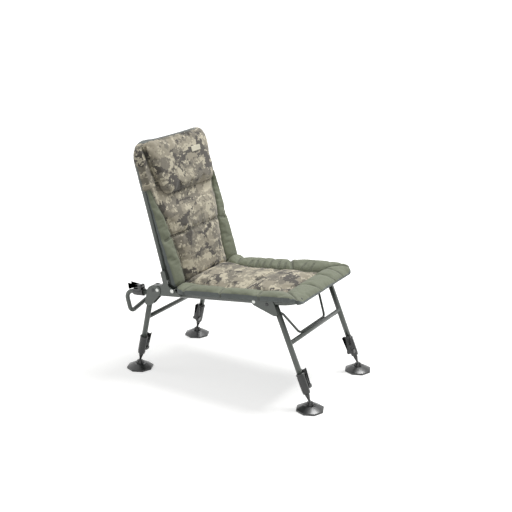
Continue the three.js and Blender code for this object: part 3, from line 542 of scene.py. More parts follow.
class CHAIR_OT_studio(bpy.types.Operator):
    """Sets up the camera, the lamps and the pale floor"""

    bl_idname = "chair.studio"
    bl_label = "Studio"

    def execute(self, context):
        scene = context.scene
        scene.view_settings.view_transform = "Standard"
        lens = bpy.data.cameras.new("camera")
        lens.lens = 70.3125
        lens.sensor_width = 36.0
        camera = bpy.data.objects.new("camera", lens)
        scene.collection.objects.link(camera)
        camera.location = (-3.2511, -1.9404, 1.6654)
        aim = Vector((0, -0.0383, 0.4906)) - camera.location
        camera.rotation_euler = aim.to_track_quat("-Z", "Y").to_euler()
        scene.camera = camera
        self.light(scene, "key lamp", (1.7, -0.9, 4.9), 2.4, 205)
        self.light(scene, "fill lamp", (-3.4, -1.4, 2.0), 3.0, 6)
        self.light(scene, "rim lamp", (-1.0, 3.4, 2.8), 2.4, 18)
        self.surround(scene)
        self.ground(scene)
        return {"FINISHED"}

    def light(self, scene, name, place, size, power):
        lamp = bpy.data.lights.new(name, "AREA")
        lamp.shape = "DISK"
        lamp.size = size
        lamp.energy = power
        holder = bpy.data.objects.new(name, lamp)
        scene.collection.objects.link(holder)
        holder.location = place
        holder.rotation_euler = (Vector((0, 0, 0.4)) - holder.location).to_track_quat("-Z", "Y").to_euler()

    def seen(self, tree):
        """1 where the camera, a reflection or a clear piece looks, and 0 for the light on the object."""
        path = add_node(tree, "ShaderNodeLightPath")
        mirrored = add_node(tree, "ShaderNodeMath", {
            0: path.outputs["Is Glossy Ray"], 1: path.outputs["Is Transmission Ray"],
        }, operation="MAXIMUM")
        return add_node(tree, "ShaderNodeMath", {
            0: path.outputs["Is Camera Ray"], 1: mirrored.outputs["Value"],
        }, operation="MAXIMUM").outputs["Value"]

    def surround(self, scene):
        world = bpy.data.worlds.new("studio")
        scene.world = world
        world.use_nodes = True
        tree = world.node_tree
        tree.nodes.clear()
        room = add_node(tree, "ShaderNodeBackground", {"Color": (1, 1, 1, 1), "Strength": 0.33})
        white = add_node(tree, "ShaderNodeBackground", {"Color": (1, 1, 1, 1), "Strength": 1.0})
        mixed = add_node(tree, "ShaderNodeMixShader", {
            0: self.seen(tree), 1: room.outputs[0], 2: white.outputs[0],
        })
        add_node(tree, "ShaderNodeOutputWorld", {"Surface": mixed.outputs[0]})

    def ground(self, scene):
        bm = bmesh.new()
        bmesh.ops.create_grid(bm, x_segments=2, y_segments=2, size=60.0)
        mesh = bpy.data.meshes.new("floor")
        bm.to_mesh(mesh)
        bm.free()
        floor = bpy.data.objects.new("floor", mesh)
        scene.collection.objects.link(floor)
        material, tree, shader = new_material("studio floor", Roughness=0.9, Specular_IOR_Level=0.0)
        shader.inputs["Base Color"].default_value = opaque(scene.chair_colours.floor)
        place = add_node(tree, "ShaderNodeTexCoord").outputs["Object"]
        away = add_node(tree, "ShaderNodeVectorMath", {0: place}, operation="LENGTH").outputs["Value"]
        rising = add_node(tree, "ShaderNodeMapRange", {
            "Value": away, "From Min": 1.0, "From Max": 3.5, "To Min": 0.58, "To Max": 1.0,
        }).outputs["Result"]
        lift = add_node(tree, "ShaderNodeEmission", {"Color": (1, 1, 1, 1)})
        strength = add_node(tree, "ShaderNodeMath", {0: self.seen(tree), 1: rising}, operation="MULTIPLY")
        tree.links.new(strength.outputs["Value"], lift.inputs["Strength"])
        both = add_node(tree, "ShaderNodeAddShader", {0: shader.outputs[0], 1: lift.outputs[0]})
        tree.links.new(both.outputs[0], tree.nodes["Material Output"].inputs["Surface"])
        mesh.materials.append(material)


# Metalwork

COAT = "powder-coated steel"
BRIGHT = "zinc-plated steel"
NYLON = "moulded nylon"


class CHAIR_OT_seat_frame(bpy.types.Operator):
    """Builds the seat rails, the cross tube, the hinge brackets and their bolts"""

    bl_idname = "chair.seat_frame"
    bl_label = "Seat frame"

    def execute(self, context):
        sizes = context.scene.chair_frame
        bm = bmesh.new()
        bent_tube(bm, [(-212, 395, 0), (-212, -328, 0), (212, -328, 0), (212, 395, 0)], (62, 62), sizes.rail, False)
        placed(bm, SEAT)
        walled(finish_piece("seat_rails", bm, "seat_frame_tube", [COAT]), sizes.wall)
        bm = bmesh.new()
        bent_tube(bm, [(-197, 198, 0), (197, 198, 0)], (), 8 * MM)
        placed(bm, SEAT)
        finish_piece("cross_tube", bm, "seat_cross_tube", [COAT])
        for side, sign in SIDES:
            dressed_copy(f"hinge_bracket_{side}", f"hinge_plate_{side}", COAT, sizes.edge)
            bm = bmesh.new()
            lathe(bm, pin_profile(4, 7.2, 4, 16.5), across(sign * 212, 212.5, 17))
            placed(bm, SEAT)
            finish_piece(f"pivot_bolt_{side}", bm, f"back_pivot_bolt_{side}", [BRIGHT])
        return {"FINISHED"}


class CHAIR_OT_back_frame(bpy.types.Operator):
    """Builds the bent tube of the back and its two gussets"""

    bl_idname = "chair.back_frame"
    bl_label = "Back frame"

    def execute(self, context):
        sizes = context.scene.chair_frame
        bm = bmesh.new()
        path = [(-212, 23, 44), (-212, 23, 572), (212, 23, 572), (212, 23, 44)]
        bent_tube(bm, path, (62, 62), sizes.back, False)
        placed(bm, BACK)
        walled(finish_piece("back_hoop", bm, "back_frame_tube", [COAT]), sizes.wall)
        for side, sign in SIDES:
            dressed_copy(f"back_gusset_{side}", f"back_plate_{side}", COAT, sizes.edge)
        return {"FINISHED"}


def weld(bm, x, y, z, sign, bar, post):
    """A bead round a bar's end, laid along the post that it meets."""
    before = set(bm.verts)
    circle = bmesh.ops.create_circle(
        bm, cap_ends=False, segments=8, radius=1.5 * MM,
        matrix=Matrix.Translation((0, bar, 0)) @ Matrix.Rotation(math.pi / 2, 4, "Z"),
    )
    edges = list({e for v in circle["verts"] for e in v.link_edges})
    bmesh.ops.spin(
        bm, geom=circle["verts"] + edges, cent=(0, 0, 0), axis=(1, 0, 0), dvec=(0, 0, 0),
        angle=2 * math.pi, steps=36, use_merge=True, use_duplicate=False,
    )
    for vert in set(bm.verts) - before:
        spread = min(abs(vert.co.y), post * 0.98)
        ripple = 0.25 * MM * math.sin(14 * math.atan2(vert.co.z, vert.co.y))
        vert.co.x += -sign * (math.sqrt(post * post - spread * spread) + ripple)
        vert.co += Vector((x * MM, y * MM, z * MM))


class CHAIR_OT_leg_frames(bpy.types.Operator):
    """Builds the leg tubes, their brackets and rivets, the cross bars and the stay hoop"""

    bl_idname = "chair.leg_frames"
    bl_label = "Leg frames"

    def execute(self, context):
        sizes = context.scene.chair_frame
        for end in ENDS:
            leg = LEG[end]
            depth, outer = leg["depth"], 14.1 if end == "front" else 16.6
            button = (-51.3, -23) if end == "front" else (19.8, -8.4)
            for side, sign in SIDES:
                x, tag = sign * 212, f"{end}_{side}"
                bm = bmesh.new()
                bent_tube(bm, [(x, depth, leg["top"]), (x, depth, leg["foot"])], (), sizes.rail, False)
                placed(bm, LEGS[end])
                tube = finish_piece(f"leg_{tag}", bm, f"leg_tube_{tag}", [COAT])
                walled(tube, sizes.wall)
                dressed_copy(f"leg_bracket_{tag}", f"leg_plate_{tag}", COAT, sizes.edge)
                bm = bmesh.new()
                lathe(bm, pin_profile(4, 6.4, 2.6, outer + 0.3), across(x, 0, 0))
                placed(bm, LEGS[end])
                finish_piece(f"rivet_{tag}", bm, f"leg_pivot_rivet_{tag}", [BRIGHT])
                bm = bmesh.new()
                lathe(bm, [
                    (0, outer - 2.3), (4.5, outer - 2.3), (4.5, outer + 0.3), (6.5, outer + 0.3),
                    (6.4, outer + 1.2), (5.6, outer + 2.1), (3.8, outer + 2.6), (3.2, outer + 2.0), (0, outer + 1.9),
                ], across(0, 0, 0))
                turn = Matrix.Identity(4) if sign > 0 else Matrix.Rotation(math.pi, 4, "Z")
                placed(bm, LEGS[end] @ Matrix.Translation((x * MM, button[0] * MM, button[1] * MM)) @ turn)
                finish_piece(f"stop_{tag}", bm, f"stop_button_{tag}", [NYLON])
            bm = bmesh.new()
            bent_tube(bm, [(-203, depth, leg["bar"]), (203, depth, leg["bar"])], (), 9 * MM)
            for side, sign in SIDES:
                weld(bm, sign * 212, depth, leg["bar"], sign, 9 * MM, sizes.rail)
            bmesh.ops.recalc_face_normals(bm, faces=bm.faces)
            placed(bm, LEGS[end])
            finish_piece(f"{end}_bar", bm, f"{end}_crossbar", [COAT])
        half = [(198, -12, -22), (188, -12, -22), (147, -54, -88), (104, -68.03, -180.03)]
        path = [(-x, y, z) for x, y, z in half] + half[::-1]
        bm = bmesh.new()
        bent_tube(bm, path, (5, 24, 24, 24, 24, 5), 4.8 * MM)
        placed(bm, LEGS["front"])
        finish_piece("stay_hoop", bm, "front_stay_hoop", [COAT])
        return {"FINISHED"}


def clamp_sleeve(bm, length, lap, bore, pin, place):
    """A cam clamp: a stepped sleeve with moulded ribs, and two lugs that hold the lever's pin."""
    lathe(bm, [
        (11.3, 0), (11.3, -lap), (bore, -lap), (bore, -length), (13.0, -length), (13.9, 0.9 - length),
        (15, 7 - length), (15, -8.6), (16.2, -7.4), (16.2, -0.9), (15.4, 0), (11.3, 0),
    ], place, 48)
    for i in range(12):
        angle = math.radians(105 + i * 30)
        if abs(math.degrees(angle) % 360 - 90) < 50:
            continue
        bar = bmesh.ops.create_cube(bm, size=1.0, matrix=place @ Matrix.Rotation(angle, 4, "Z") @ Matrix.Translation((
            14.9 * MM, 0, -length * 0.5 * MM)) @ Matrix.Diagonal((1.6 * MM, 2.0 * MM, (length - 22) * MM, 1)))
        edges = list({e for v in bar["verts"] for e in v.link_edges})
        bmesh.ops.bevel(bm, geom=edges, offset=0.5 * MM, affect="EDGES", segments=2, profile=0.5, material=-1)
    for end in (-1, 1):
        x0, x1 = sorted((end * 11, end * 14.2))
        plate(bm, [(9, pin - 7.5), (30.2, pin - 7.5), (30.2, pin + 7.5), (9, pin + 7.5)], x0, x1, 5, 0.6 * MM, place)


def clamp_lever(bm, pin, swing, reach, place):
    """A cam lever with a curled tip, finger ribs and its steel pin, which here takes the lever's nylon finish."""
    def at(share):
        return pin + swing * reach * share
    outline = [
        (16.5, pin - swing * 7), (30.2, pin - swing * 7), (30.2, at(0.2)), (24.5, at(0.85)), (27.5, at(1)),
        (19.5, at(1)), (16.5, at(0.85)),
    ]
    plate(bm, outline[:: -swing], -10.5, 10.5, 4, 1.0 * MM, place)
    for i in range(5):
        share = 0.42 + 0.09 * i
        face = 30.2 + (24.5 - 30.2) * (share - 0.2) / 0.65
        rib = bmesh.ops.create_cube(bm, size=1.0, matrix=place @ Matrix.Translation((
            0, face * MM, at(share) * MM)) @ Matrix.Diagonal((15 * MM, 1.8 * MM, 2.2 * MM, 1)))
        edges = list({e for v in rib["verts"] for e in v.link_edges})
        bmesh.ops.bevel(bm, geom=edges, offset=0.6 * MM, affect="EDGES", segments=2, profile=0.5, material=-1)
    lathe(bm, [(0, -14.6), (2.4, -14.6), (2.4, 14.6), (0, 14.6)], place @ across(0, 23.2, pin), 20)


class CHAIR_OT_leg_ends(bpy.types.Operator):
    """Builds each leg's cam clamp and lever, inner tube, swivel stem and mud foot"""

    bl_idname = "chair.leg_ends"
    bl_label = "Leg ends"

    def execute(self, context):
        sizes = context.scene.chair_frame
        for end in ENDS:
            leg = LEG[end]
            for side, sign in SIDES:
                tag = f"{end}_{side}"
                base = LEGS[end] @ Matrix.Translation((sign * 212 * MM, leg["depth"] * MM, leg["clamp"] * MM))
                hand = base @ Matrix.Rotation(sign * math.pi / 2, 4, "Z")
                bm = bmesh.new()
                clamp_sleeve(bm, 80, 46, 9.5, -58, hand)
                finish_piece(f"clamp_{tag}", bm, f"leg_clamp_{tag}", [NYLON])
                bm = bmesh.new()
                clamp_lever(bm, -58, 1, 66, hand)
                finish_piece(f"lever_{tag}", bm, f"leg_lever_{tag}", [NYLON])
                bm = bmesh.new()
                bent_tube(bm, [(0, 0, leg["inner"]), (0, 0, -83)], (), 9.2 * MM, False)
                placed(bm, base)
                inner = finish_piece(f"inner_tube_{tag}", bm, f"inner_leg_{tag}", [COAT])
                walled(inner, 1.2 * MM)
                ball = LEGS[end] @ Matrix.Translation((sign * 212 * MM, leg["depth"] * MM, leg["ball"] * MM))
                bm = bmesh.new()
                arc = [(9 * math.sin(a), -9 * math.cos(a)) for a in (i * math.radians(150) / 12 for i in range(13))]
                lathe(bm, [(0, -9)] + arc[1:] + [
                    (4.6, 9.5), (4.7, 13), (6.2, 20), (8.2, 27), (8.8, 29.4), (8.8, 34), (7.7, 34),
                    (7.7, 52), (0, 52),
                ], ball, 32)
                finish_piece(f"stem_{tag}", bm, f"swivel_stem_{tag}", [NYLON])
                dressed_copy(f"mud_foot_{tag}", f"mud_pad_{tag}", NYLON, sizes.moulded)
        return {"FINISHED"}


class CHAIR_OT_rear_loop(bpy.types.Operator):
    """Builds the sliding loop behind the seat, its cam clamps and their levers"""

    bl_idname = "chair.rear_loop"
    bl_label = "Rear loop"

    def execute(self, context):
        half = [(212, 285, 0), (212, 455, 0), (204, 449, -92), (60, 449, -64)]
        bm = bmesh.new()
        bent_tube(bm, [(-x, s, n) for x, s, n in half] + half[::-1], (32, 20, 110, 110, 20, 32), 9 * MM)
        placed(bm, SEAT)
        finish_piece("sliding_loop", bm, "rear_loop", [COAT])
        upright = Matrix(((1, 0, 0, 0), (0, 0, -1, 0), (0, 1, 0, 0), (0, 0, 0, 1)))
        for side, sign in SIDES:
            place = SEAT @ Matrix.Translation((sign * 212 * MM, 362 * MM, 0)) @ upright
            bm = bmesh.new()
            clamp_sleeve(bm, 50, 33.3, 9.3, -12, place)
            finish_piece(f"loop_collar_{side}", bm, f"loop_clamp_{side}", [NYLON])
            bm = bmesh.new()
            clamp_lever(bm, -12, -1, 56, place)
            finish_piece(f"loop_catch_{side}", bm, f"loop_lever_{side}", [NYLON])
        return {"FINISHED"}


# Soft goods

CLOTHS = ["camouflage peach skin", "olive polyester", "grey edging", "coated sling cloth"]
# DARK is the sling cloth on the pads' undersides, and it is also laid low on the back pad's side wall as a painted
# shadow.
CAMO, OLIVE, BAND, DARK = range(4)
ASIDE = 5.0  # the back's cover sits this many millimetres towards the left side


def pad_block(columns, rows, walls):
    """A closed slab of unit size with a grid above and below, and the wall between them in steps."""
    bm = bmesh.new()
    bmesh.ops.create_grid(bm, x_segments=columns, y_segments=rows, size=1.0)
    grown = bmesh.ops.extrude_face_region(bm, geom=bm.faces[:], use_keep_orig=True)["geom"]
    bmesh.ops.translate(bm, verts=points_of(grown), vec=(0, 0, 1))
    upright = [e for e in bm.edges if abs(e.verts[0].co.z - e.verts[1].co.z) > 0.5]
    bmesh.ops.subdivide_edges(bm, edges=upright, cuts=walls - 1, use_grid_fill=True)
    bmesh.ops.recalc_face_normals(bm, faces=bm.faces)
    return bm


def stepped(value, stops):
    """Piecewise straight map of a grid coordinate onto a size, so that seams fall on grid lines."""
    for (u0, x0), (u1, x1) in zip(stops, stops[1:]):
        if value <= u1 or (u1, x1) == stops[-1]:
            return x0 + (x1 - x0) * (value - u0) / (u1 - u0)


def rounded(x, y, half, low, high, corner):
    """Pulls a rectangle's corners in to an arc."""
    middle, reach_y = (low + high) / 2, (high - low) / 2
    over_x = max(0.0, abs(x) - (half - corner))
    over_y = max(0.0, abs(y - middle) - (reach_y - corner))
    far = math.hypot(over_x, over_y)
    if not over_x or not over_y:
        return x, y
    pull = max(over_x, over_y) / far
    return (
        math.copysign(half - corner + over_x * pull, x),
        middle + math.copysign(reach_y - corner + over_y * pull, y - middle),
    )


def nearest_seam(x, y, seams):
    """Distance to the nearest sewn line, the place along it, and the line, which is (x0, y0, x1, y1, depth)."""
    best = (1.0e3, 0.0, seams[0])
    for seam in seams:
        x0, y0, x1, y1, _ = seam
        dx, dy = x1 - x0, y1 - y0
        length = math.hypot(dx, dy)
        t = max(0.0, min(length, ((x - x0) * dx + (y - y0) * dy) / length))
        away = math.hypot(x - x0 - dx * t / length, y - y0 - dy * t / length)
        if away < best[0]:
            best = (away, t, seam)
    return best


def write_maps(mesh, flat, seams):
    """Writes the cloth map in metres, and each point's distance from and place along its nearest seam."""
    uv = mesh.uv_layers.new(name="cloth")
    for loop in mesh.loops:
        x, y, wall = flat[loop.vertex_index]
        uv.data[loop.index].uv = ((x + wall) * MM, (y + wall) * MM)
    away = mesh.attributes.new("seam", "FLOAT", "POINT")
    run = mesh.attributes.new("run", "FLOAT", "POINT")
    for i, (x, y, wall) in enumerate(flat):
        distance, along, _ = nearest_seam(x, y, seams)
        away.data[i].value = distance * MM
        run.data[i].value = along * MM


def swell(piece, held, cap, pressure=4.0, stiffness=14.0, frames=20):
    """Lets the filling swell the pad between its held points, and caps how far a point moves."""
    mesh = piece.data
    start = [v.co.copy() for v in mesh.vertices]
    scene = bpy.context.scene
    pins = piece.vertex_groups.new(name="held")
    for index, weight in held.items():
        pins.add([index], weight, "REPLACE")
    cloth = piece.modifiers.new("filling", "CLOTH")
    settings = cloth.settings
    settings.quality = 5
    settings.mass = 0.15
    settings.tension_stiffness = stiffness
    settings.compression_stiffness = stiffness
    settings.use_pressure = True
    settings.uniform_pressure_force = pressure
    settings.vertex_group_mass = "held"
    settings.shrink_min = -scene.chair_cloth.loosen
    settings.effector_weights.gravity = 0
    cloth.collision_settings.use_collision = False
    scene.frame_start, scene.frame_end = 1, frames
    cloth.point_cache.frame_start, cloth.point_cache.frame_end = 1, frames
    for step in range(1, frames + 1):
        scene.frame_set(step)
    evaluated = piece.evaluated_get(bpy.context.evaluated_depsgraph_get())
    shaped = [v.co.copy() for v in evaluated.data.vertices]
    scene.frame_set(1)
    piece.modifiers.remove(cloth)
    piece.vertex_groups.remove(pins)
    for vert, before, after in zip(mesh.vertices, start, shaped):
        move = after - before
        if move.length > cap:
            move = move.normalized() * cap * (1 + 0.25 * math.tanh((move.length - cap) / cap))
        vert.co = before + move
    mesh.update()


def smoothed(piece):
    finer = piece.modifiers.new("finer", "SUBSURF")
    finer.levels = finer.render_levels = 1
    return piece


def groove(distance, width):
    return math.exp(-((distance / width) ** 2))


def sewn_pad(name, nodes, block, spot, material_of, seams, place, cap):
    """Shapes a unit slab into a pad, swells it between its seams, and puts it in place."""
    cloth = bpy.context.scene.chair_cloth
    units = [v.co.copy() for v in block.verts]
    flat, held = [], {}
    for vert, unit in zip(block.verts, units):
        x, y, z = spot(unit.x, unit.y, unit.z)
        distance, along, seam = nearest_seam(x, y, seams)
        wall = 0.0 if unit.z in (0.0, 1.0) else 15 * (1 - unit.z)
        if unit.z == 1.0:
            gather = noise.noise(Vector((along / 9, (seam[0] + distance) / 60, seam[1] / 60)))
            z -= min(seam[4] * groove(distance, 5.5), 0.6 * (z - spot(unit.x, unit.y, 0.0)[2]))
            z += cloth.pucker / MM * gather * min(1.0, distance / 5) * math.exp(-distance / 22)
            if distance < 2.5:
                held[vert.index] = min(1.0, seam[4] / 5)
        if unit.z == 0.0:
            held[vert.index] = 1.0
        flat.append((x, y, wall))
        vert.co = Vector((x, y, z)) * MM
    for face in block.faces:
        middle = sum((units[v.index] for v in face.verts), Vector()) / len(face.verts)
        spot_mm = sum((Vector(flat[v.index]) for v in face.verts), Vector()) / len(face.verts)
        face.material_index = material_of(spot_mm.x, spot_mm.y, middle.z)
    bmesh.ops.recalc_face_normals(block, faces=block.faces)
    piece = finish_piece(name, block, nodes, CLOTHS, 180)
    write_maps(piece.data, flat, seams)
    swell(piece, held, cap)
    piece.data.transform(place)
    piece.data.update()
    return smoothed(piece)


class CHAIR_OT_slings(bpy.types.Operator):
    """Lays the coated cloth slings of the seat and the back"""

    bl_idname = "chair.slings"
    bl_label = "Slings"

    def execute(self, context):
        bm = bmesh.new()
        bmesh.ops.create_grid(bm, x_segments=60, y_segments=48, size=1.0)
        for vert in bm.verts:
            x = 222.5 * vert.co.x
            inside = max(0.0, 1 - (x / 201) ** 2)
            s = -60 + 245.5 * vert.co.y
            ripple = 0.8 * inside * noise.noise(Vector((x / 60, s / 90, 0.0)))
            vert.co = Vector((x, s, 12.4 - 14 * inside + ripple)) * MM
        self.sheet(bm, "seat_sling_cloth", "seat_sling", SEAT, (0.447, 0.491), ["seat_rails"])
        bm = bmesh.new()
        bmesh.ops.create_grid(bm, x_segments=54, y_segments=60, size=1.0)
        for vert in bm.verts:
            x, a = 201.3 * vert.co.x, 325 + 236 * vert.co.y
            if vert.co.y > 0:
                x, a = rounded(x, a, 201.3, 89, 561, 56)
            dish = 2.0 * (1 - vert.co.x ** 2) * (1 - vert.co.y ** 2)
            ripple = 0.6 * (1 - vert.co.x ** 2) * noise.noise(Vector((x / 70, a / 60, 3.0)))
            vert.co = Vector((x, 23 + dish + ripple, a)) * MM
        self.sheet(bm, "back_sling_cloth", "back_sling", BACK, (0.4026, 0.472), ["back_hoop"])
        return {"FINISHED"}

    def sheet(self, bm, name, node, place, flat, rests):
        map_axis = 1 if node == "seat_sling" else 2
        bmesh.ops.recalc_face_normals(bm, faces=bm.faces)
        piece = finish_piece(name, bm, node, ["coated sling cloth"], 60)
        uv = piece.data.uv_layers.new(name="cloth")
        for loop in piece.data.loops:
            co = piece.data.vertices[loop.vertex_index].co
            uv.data[loop.index].uv = (co.x, co[map_axis])
        piece.data.transform(place)
        thick = piece.modifiers.new("thickness", "SOLIDIFY")
        thick.thickness = 1.6 * MM
        thick.offset = 0


class CHAIR_OT_seat_mattress(bpy.types.Operator):
    """Sews the seat mattress: a printed panel in a puffed green border with a grey edging"""

    bl_idname = "chair.seat_mattress"
    bl_label = "Seat mattress"

    def execute(self, context):
        cloth = context.scene.chair_cloth
        crown, roll, edge = cloth.crown / MM, cloth.roll / MM, cloth.edge / MM
        half, front, rear = 235, -352, 199
        panel, fore = 146, -252
        side_line, front_line = 25 / 40, -1 + 32 / 90

        def share(value, low, high):
            return max(0.0, min(1.0, (value - low) / (high - low)))

        def underside(x, s):
            """Follows the sling's sag, and hangs over the rails at the sides and the front."""
            sag = 13 * max(0.0, 1 - (x / 201) ** 2) * share(s, -300, -240) * share(-s, -188, -148)
            return 14.4 - sag - max(8.4 * share(abs(x), 222, 235), 19.4 * share(-s, 338, 352))

        def spot(u, v, w):
            x = math.copysign(stepped(abs(u), [(0, 0), (side_line, panel), (1, half)]), u)
            s = stepped(v, [(-1, front), (front_line, fore), (1, rear)])
            side_out = (abs(u) - side_line) / (1 - side_line)
            front_out = (front_line - v) / (1 + front_line)
            out = max(side_out, front_out)
            fronted = share(front_out - side_out, -0.1, 0.5) if front_out > 0 else 0.0
            seam = 13 + 4 * fronted + 14 * share(s, 40, 160)
            if out > 0:
                full = roll * (0.83 + 0.27 * u) - 6 * share(s, 40, 160)
                full *= 1 - 0.6 * max(0.0, side_out) * max(0.0, front_out)
                lip = 26 - 23 * fronted
                top = seam + (lip - seam) * out + full * max(0.0, 1 - (2 * out - 1) ** 2) ** 0.7
                top += (8 + 5 * u) * groove(s - 176, 18) * min(1.0, max(0.0, side_out) * 3)
            else:
                lengthwise = (2 * s - fore - rear) / (rear - fore)
                ends = 1 - lengthwise**4 * (1 if lengthwise < 0 else 0.35)
                square = 2 + 5 * max(0.0, lengthwise) ** 4
                top = seam + crown * (1 - abs(x / panel) ** square) ** 0.85 * ends
            low = underside(x, s)
            top += (low + edge - top) * max(0.0, v) ** 90
            puff = 2.2 * math.sin(math.pi * w)
            x, s = rounded(x, s, half, front, rear, 38)
            reach = math.hypot(x, s + 76)
            return x * (1 + puff / reach), s + (s + 76) * puff / reach, low + (top - low) * w

        seams = [
            (-panel, fore, -panel, rear, 5), (panel, fore, panel, rear, 5), (-panel, fore, panel, fore, 5),
            (-panel, -66, 0, -84, 8), (0, -84, panel, -72, 8),
            (-60, fore, -45, front, 7), (70, fore, 75, front, 7), (150, fore, 140, front, 4),
            (-panel, fore, -228, -344, 8), (panel, fore, 228, -344, 8),
            (-panel, 0, -half, -16, 7), (-panel, -168, -half, -186, 6), (-panel, 140, -half, 152, 8),
            (panel, -12, half, -4, 4), (panel, -125, half, -66, 10), (panel, 140, half, 152, 8),
            (panel, 52, 184, 58, 4), (panel, 86, 178, 84, 4), (panel, 22, 176, 22, 3), (panel, -52, 186, -44, 5),
            (panel, -84, 180, -76, 4), (panel, -160, 184, -168, 4), (panel, -200, 178, -206, 3),
        ]

        def cloth_at(x, s, w):
            if w == 0.0:
                return DARK
            if w < 1.0:
                return BAND
            return CAMO if abs(x) < panel and s > fore else OLIVE

        block = pad_block(80, 90, 3)
        pad = sewn_pad("seat_cushion", "seat_mattress", block, spot, cloth_at, seams, SEAT, cloth.cap)
        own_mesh(pad)
        return {"FINISHED"}


def back_squash(piece):
    """Gives the piece its own copy of its mesh."""
    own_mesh(piece)


class CHAIR_OT_back_mattress(bpy.types.Operator):
    """Sews the back mattress with its green wings, and the hood that is pulled over the top of the frame"""

    bl_idname = "chair.back_mattress"
    bl_label = "Back mattress"

    def execute(self, context):
        cloth = context.scene.chair_cloth
        crown, edge = cloth.back_crown / MM, cloth.edge / MM
        aside = ASIDE
        half, foot, top = 222, 7, 412
        wing_line, seam_rise, head_rise = 26 / 37, 14, 7

        def wing_seam(a):
            return 153 + 62 * max(0.0, min(1.0, (a - 35) / 367)) ** 1.7

        def spot(u, v, w):
            a = foot + (top - foot) * (v + 1) / 2
            x = math.copysign(stepped(abs(u), [(0, 0), (wing_line, wing_seam(a)), (1, half)]), u)
            out = max(0.0, (abs(u) - wing_line) / (1 - wing_line))
            rise = seam_rise + crown * (1 - min(1.0, abs(u / wing_line)) ** 4) + 3 * math.sin(math.pi * out)
            below = max(0.0, min(1.0, (342 - a) / 60))
            full = below * below * (3 - 2 * below)
            depth = edge + (head_rise * (1 - full) + rise * full) * (1 - min(0.0, v) ** 24)
            lower = max(0.0, min(1.0, (400 - a) / 370))
            wall = 3 + 22 * lower if u < 0 else 30 + 15 * lower
            depth += (wall * (1 - min(0.0, v) ** 24) + min(wall, depth) * min(0.0, v) ** 24 - depth) * out**1.5
            puff = 2.0 * math.sin(math.pi * w)
            if v < 0:
                x, a = rounded(x, a, half, foot, 1000, 24)
            x += math.copysign(puff, x) * min(1, abs(u) * 3)
            return x + aside, a, depth * w

        tuck = foot + (top - foot) * 32 / 65
        seams = [(-165, tuck, -95, tuck, 15), (-95, tuck, 95, tuck, 5), (95, tuck, 170, tuck, 9)]
        for sign in (-1, 1):
            heights = [foot, 90, 150, 200, 250, 300, 345, 380, top]
            for low, high in zip(heights, heights[1:]):
                seams.append((sign * wing_seam(low) + aside, low, sign * wing_seam(high) + aside, high, 7 + 2 * sign))
            seams.append((sign * 168 + aside, tuck, sign * 205 + aside, tuck - 10, 6))

        def cloth_at(x, a, w):
            if w == 0.0:
                return DARK
            if w < 1.0:
                # Painted shadow: the lower part of the side wall gets the dark sling cloth, standing in for the shadow
                # gap between the pad and the tube.
                return BAND if w > 0.3 else DARK
            return CAMO if abs(x - aside) < wing_seam(a) else OLIVE

        stand = BACK @ Matrix.Translation((0, 11.2 * MM, 0)) @ Matrix.Rotation(math.pi / 2, 4, "X")
        block = pad_block(74, 65, 3)
        pad = sewn_pad("back_cushion", "back_mattress", block, spot, cloth_at, seams, stand, cloth.cap)
        self.notch(pad)
        back_squash(pad)
        self.hood(cloth, edge)
        return {"FINISHED"}

    def notch(self, pad):
        """Holds the lower corners in front of the gussets and the hinge brackets."""
        inverse = BACK.inverted()
        for vert in pad.data.vertices:
            local = inverse @ vert.co
            x, depth, a = local.x / MM, local.y / MM, local.z / MM
            if abs(x) > 189 and a < 25:
                depth -= (25 - a) * max(0.25, 1 - (11.2 - depth) / 30)
                vert.co = BACK @ (Vector((x, depth, a)) * MM)
        pad.data.update()

    def hood(self, cloth, edge):
        half, foot, top = 224, 404, 592

        def spot(u, v, w):
            x, a = half * u, foot + (top - foot) * (v + 1) / 2
            front = edge + 5 + 4 * (1 - u**4)
            back = -24.5
            depth = back + (front - back) * w
            if v > 0:
                x, a = rounded(x, a, half, -1000, top, 78 if u < 0 else 34)
            side = math.sin(math.pi * w) ** 0.5
            side_in = 7 * (1 - side) * max(0.0, abs(u) - 0.9) / 0.1
            x -= math.copysign(side_in, x)
            a -= 4 * (1 - side) * max(0.0, v - 0.9) / 0.1
            return x + 1.5, a, depth

        def cloth_at(x, a, w):
            if w == 0.0:
                return DARK
            if w < 1.0 and a > 583 and abs(x) < 186:
                return BAND
            return CAMO

        seams = [(-160, top, 160, top, 6), (-222, foot, 222, foot, 6), (-166, foot, -198, 575, 9)]
        stand = BACK @ Matrix.Translation((0, 11.2 * MM, 0)) @ Matrix.Rotation(math.pi / 2, 4, "X")
        block = pad_block(74, 30, 6)
        pad = sewn_pad("head_hood", "back_mattress", block, spot, cloth_at, seams, stand, 3 * MM)
        back_squash(pad)


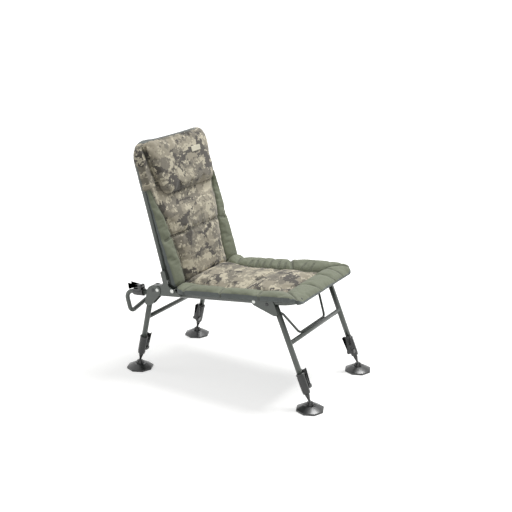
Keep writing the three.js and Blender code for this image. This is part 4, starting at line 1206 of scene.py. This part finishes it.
class CHAIR_OT_head_pillow(bpy.types.Operator):
    """Sews the head pillow and its plain woven tab"""

    bl_idname = "chair.head_pillow"
    bl_label = "Head pillow"

    def execute(self, context):
        foot, top = 369, 585

        def spot(u, v, w):
            share = (v + 1) / 2
            half = 183 + 22 * share
            x, a = rounded(u * half, foot + (top - foot) * share, half, foot, top, 38)
            fullness = math.sqrt((1 - u**4) * (1 - v**6))
            return x + 24 - 15 * share, a, 10 + 3 * w + (2 * w - 1) * (15 * w + 9 * (1 - w)) * fullness

        seams = [(-90, top, 90, top, 1)]
        block = pad_block(66, 38, 2)
        stand = BACK @ Matrix.Translation((0, -11.8 * MM, 0)) @ Matrix.Rotation(math.pi / 2, 4, "X")
        pad = sewn_pad(
            "pillow", "head_pillow", block, spot, lambda x, a, w: CAMO, seams, stand, 5 * MM
        )
        self.tab(pad)
        back_squash(pad)
        return {"FINISHED"}

    def tab(self, pillow):
        """A blank woven tab sewn flat on the pillow's face."""
        tree = BVHTree.FromPolygons(
            [v.co for v in pillow.data.vertices], [p.vertices for p in pillow.data.polygons]
        )
        bm = bmesh.new()
        bmesh.ops.create_grid(bm, x_segments=16, y_segments=8, size=1.0)
        inward = (BACK.to_3x3() @ Vector((0, 1, 0))).normalized()
        for vert in bm.verts:
            start = BACK @ (Vector((95 + 32 * vert.co.x, -200, 511 + 11.5 * vert.co.y)) * MM)
            hit = tree.ray_cast(start, inward)[0]
            if hit is None:
                raise RuntimeError("the tab missed the pillow")
            vert.co = hit - inward * 0.9 * MM
        bmesh.ops.recalc_face_normals(bm, faces=bm.faces)
        piece = finish_piece("plain_tab", bm, None, ["woven tab"], 60, "back")
        uv = piece.data.uv_layers.new(name="cloth")
        for loop in piece.data.loops:
            co = piece.data.vertices[loop.vertex_index].co
            uv.data[loop.index].uv = (co.x, co.z)
        thick = piece.modifiers.new("thickness", "SOLIDIFY")
        thick.thickness = 0.8 * MM
        thick.offset = 0
        back_squash(piece)


STEPS = (
    CHAIR_OT_studio, CHAIR_OT_seat_frame, CHAIR_OT_back_frame, CHAIR_OT_leg_frames, CHAIR_OT_leg_ends,
    CHAIR_OT_rear_loop, CHAIR_OT_slings, CHAIR_OT_seat_mattress, CHAIR_OT_back_mattress, CHAIR_OT_head_pillow,
)


class CHAIR_PT_pieces(bpy.types.Panel):
    """Lists the chair's pieces"""

    bl_label = "Carp fishing chair"
    bl_idname = "CHAIR_PT_pieces"
    bl_space_type = "VIEW_3D"
    bl_region_type = "UI"
    bl_category = "Chair"

    def draw(self, context):
        for step in STEPS:
            self.layout.operator(step.bl_idname)
        for group in (context.scene.chair_frame, context.scene.chair_cloth, context.scene.chair_colours):
            for name in group.__annotations__:
                self.layout.prop(group, name)


CLASSES = (ChairFrameSizes, ChairClothSizes, ChairColours, *STEPS, CHAIR_PT_pieces)


def register():
    for cls in CLASSES:
        bpy.utils.register_class(cls)
    bpy.types.Scene.chair_frame = PointerProperty(type=ChairFrameSizes)
    bpy.types.Scene.chair_cloth = PointerProperty(type=ChairClothSizes)
    bpy.types.Scene.chair_colours = PointerProperty(type=ChairColours)


def unregister():
    del bpy.types.Scene.chair_frame, bpy.types.Scene.chair_cloth, bpy.types.Scene.chair_colours
    for cls in reversed(CLASSES):
        bpy.utils.unregister_class(cls)


def main():
    register()
    for step in STEPS:
        group, name = step.bl_idname.split(".")
        getattr(getattr(bpy.ops, group), name)()


if __name__ == "__main__":
    main()
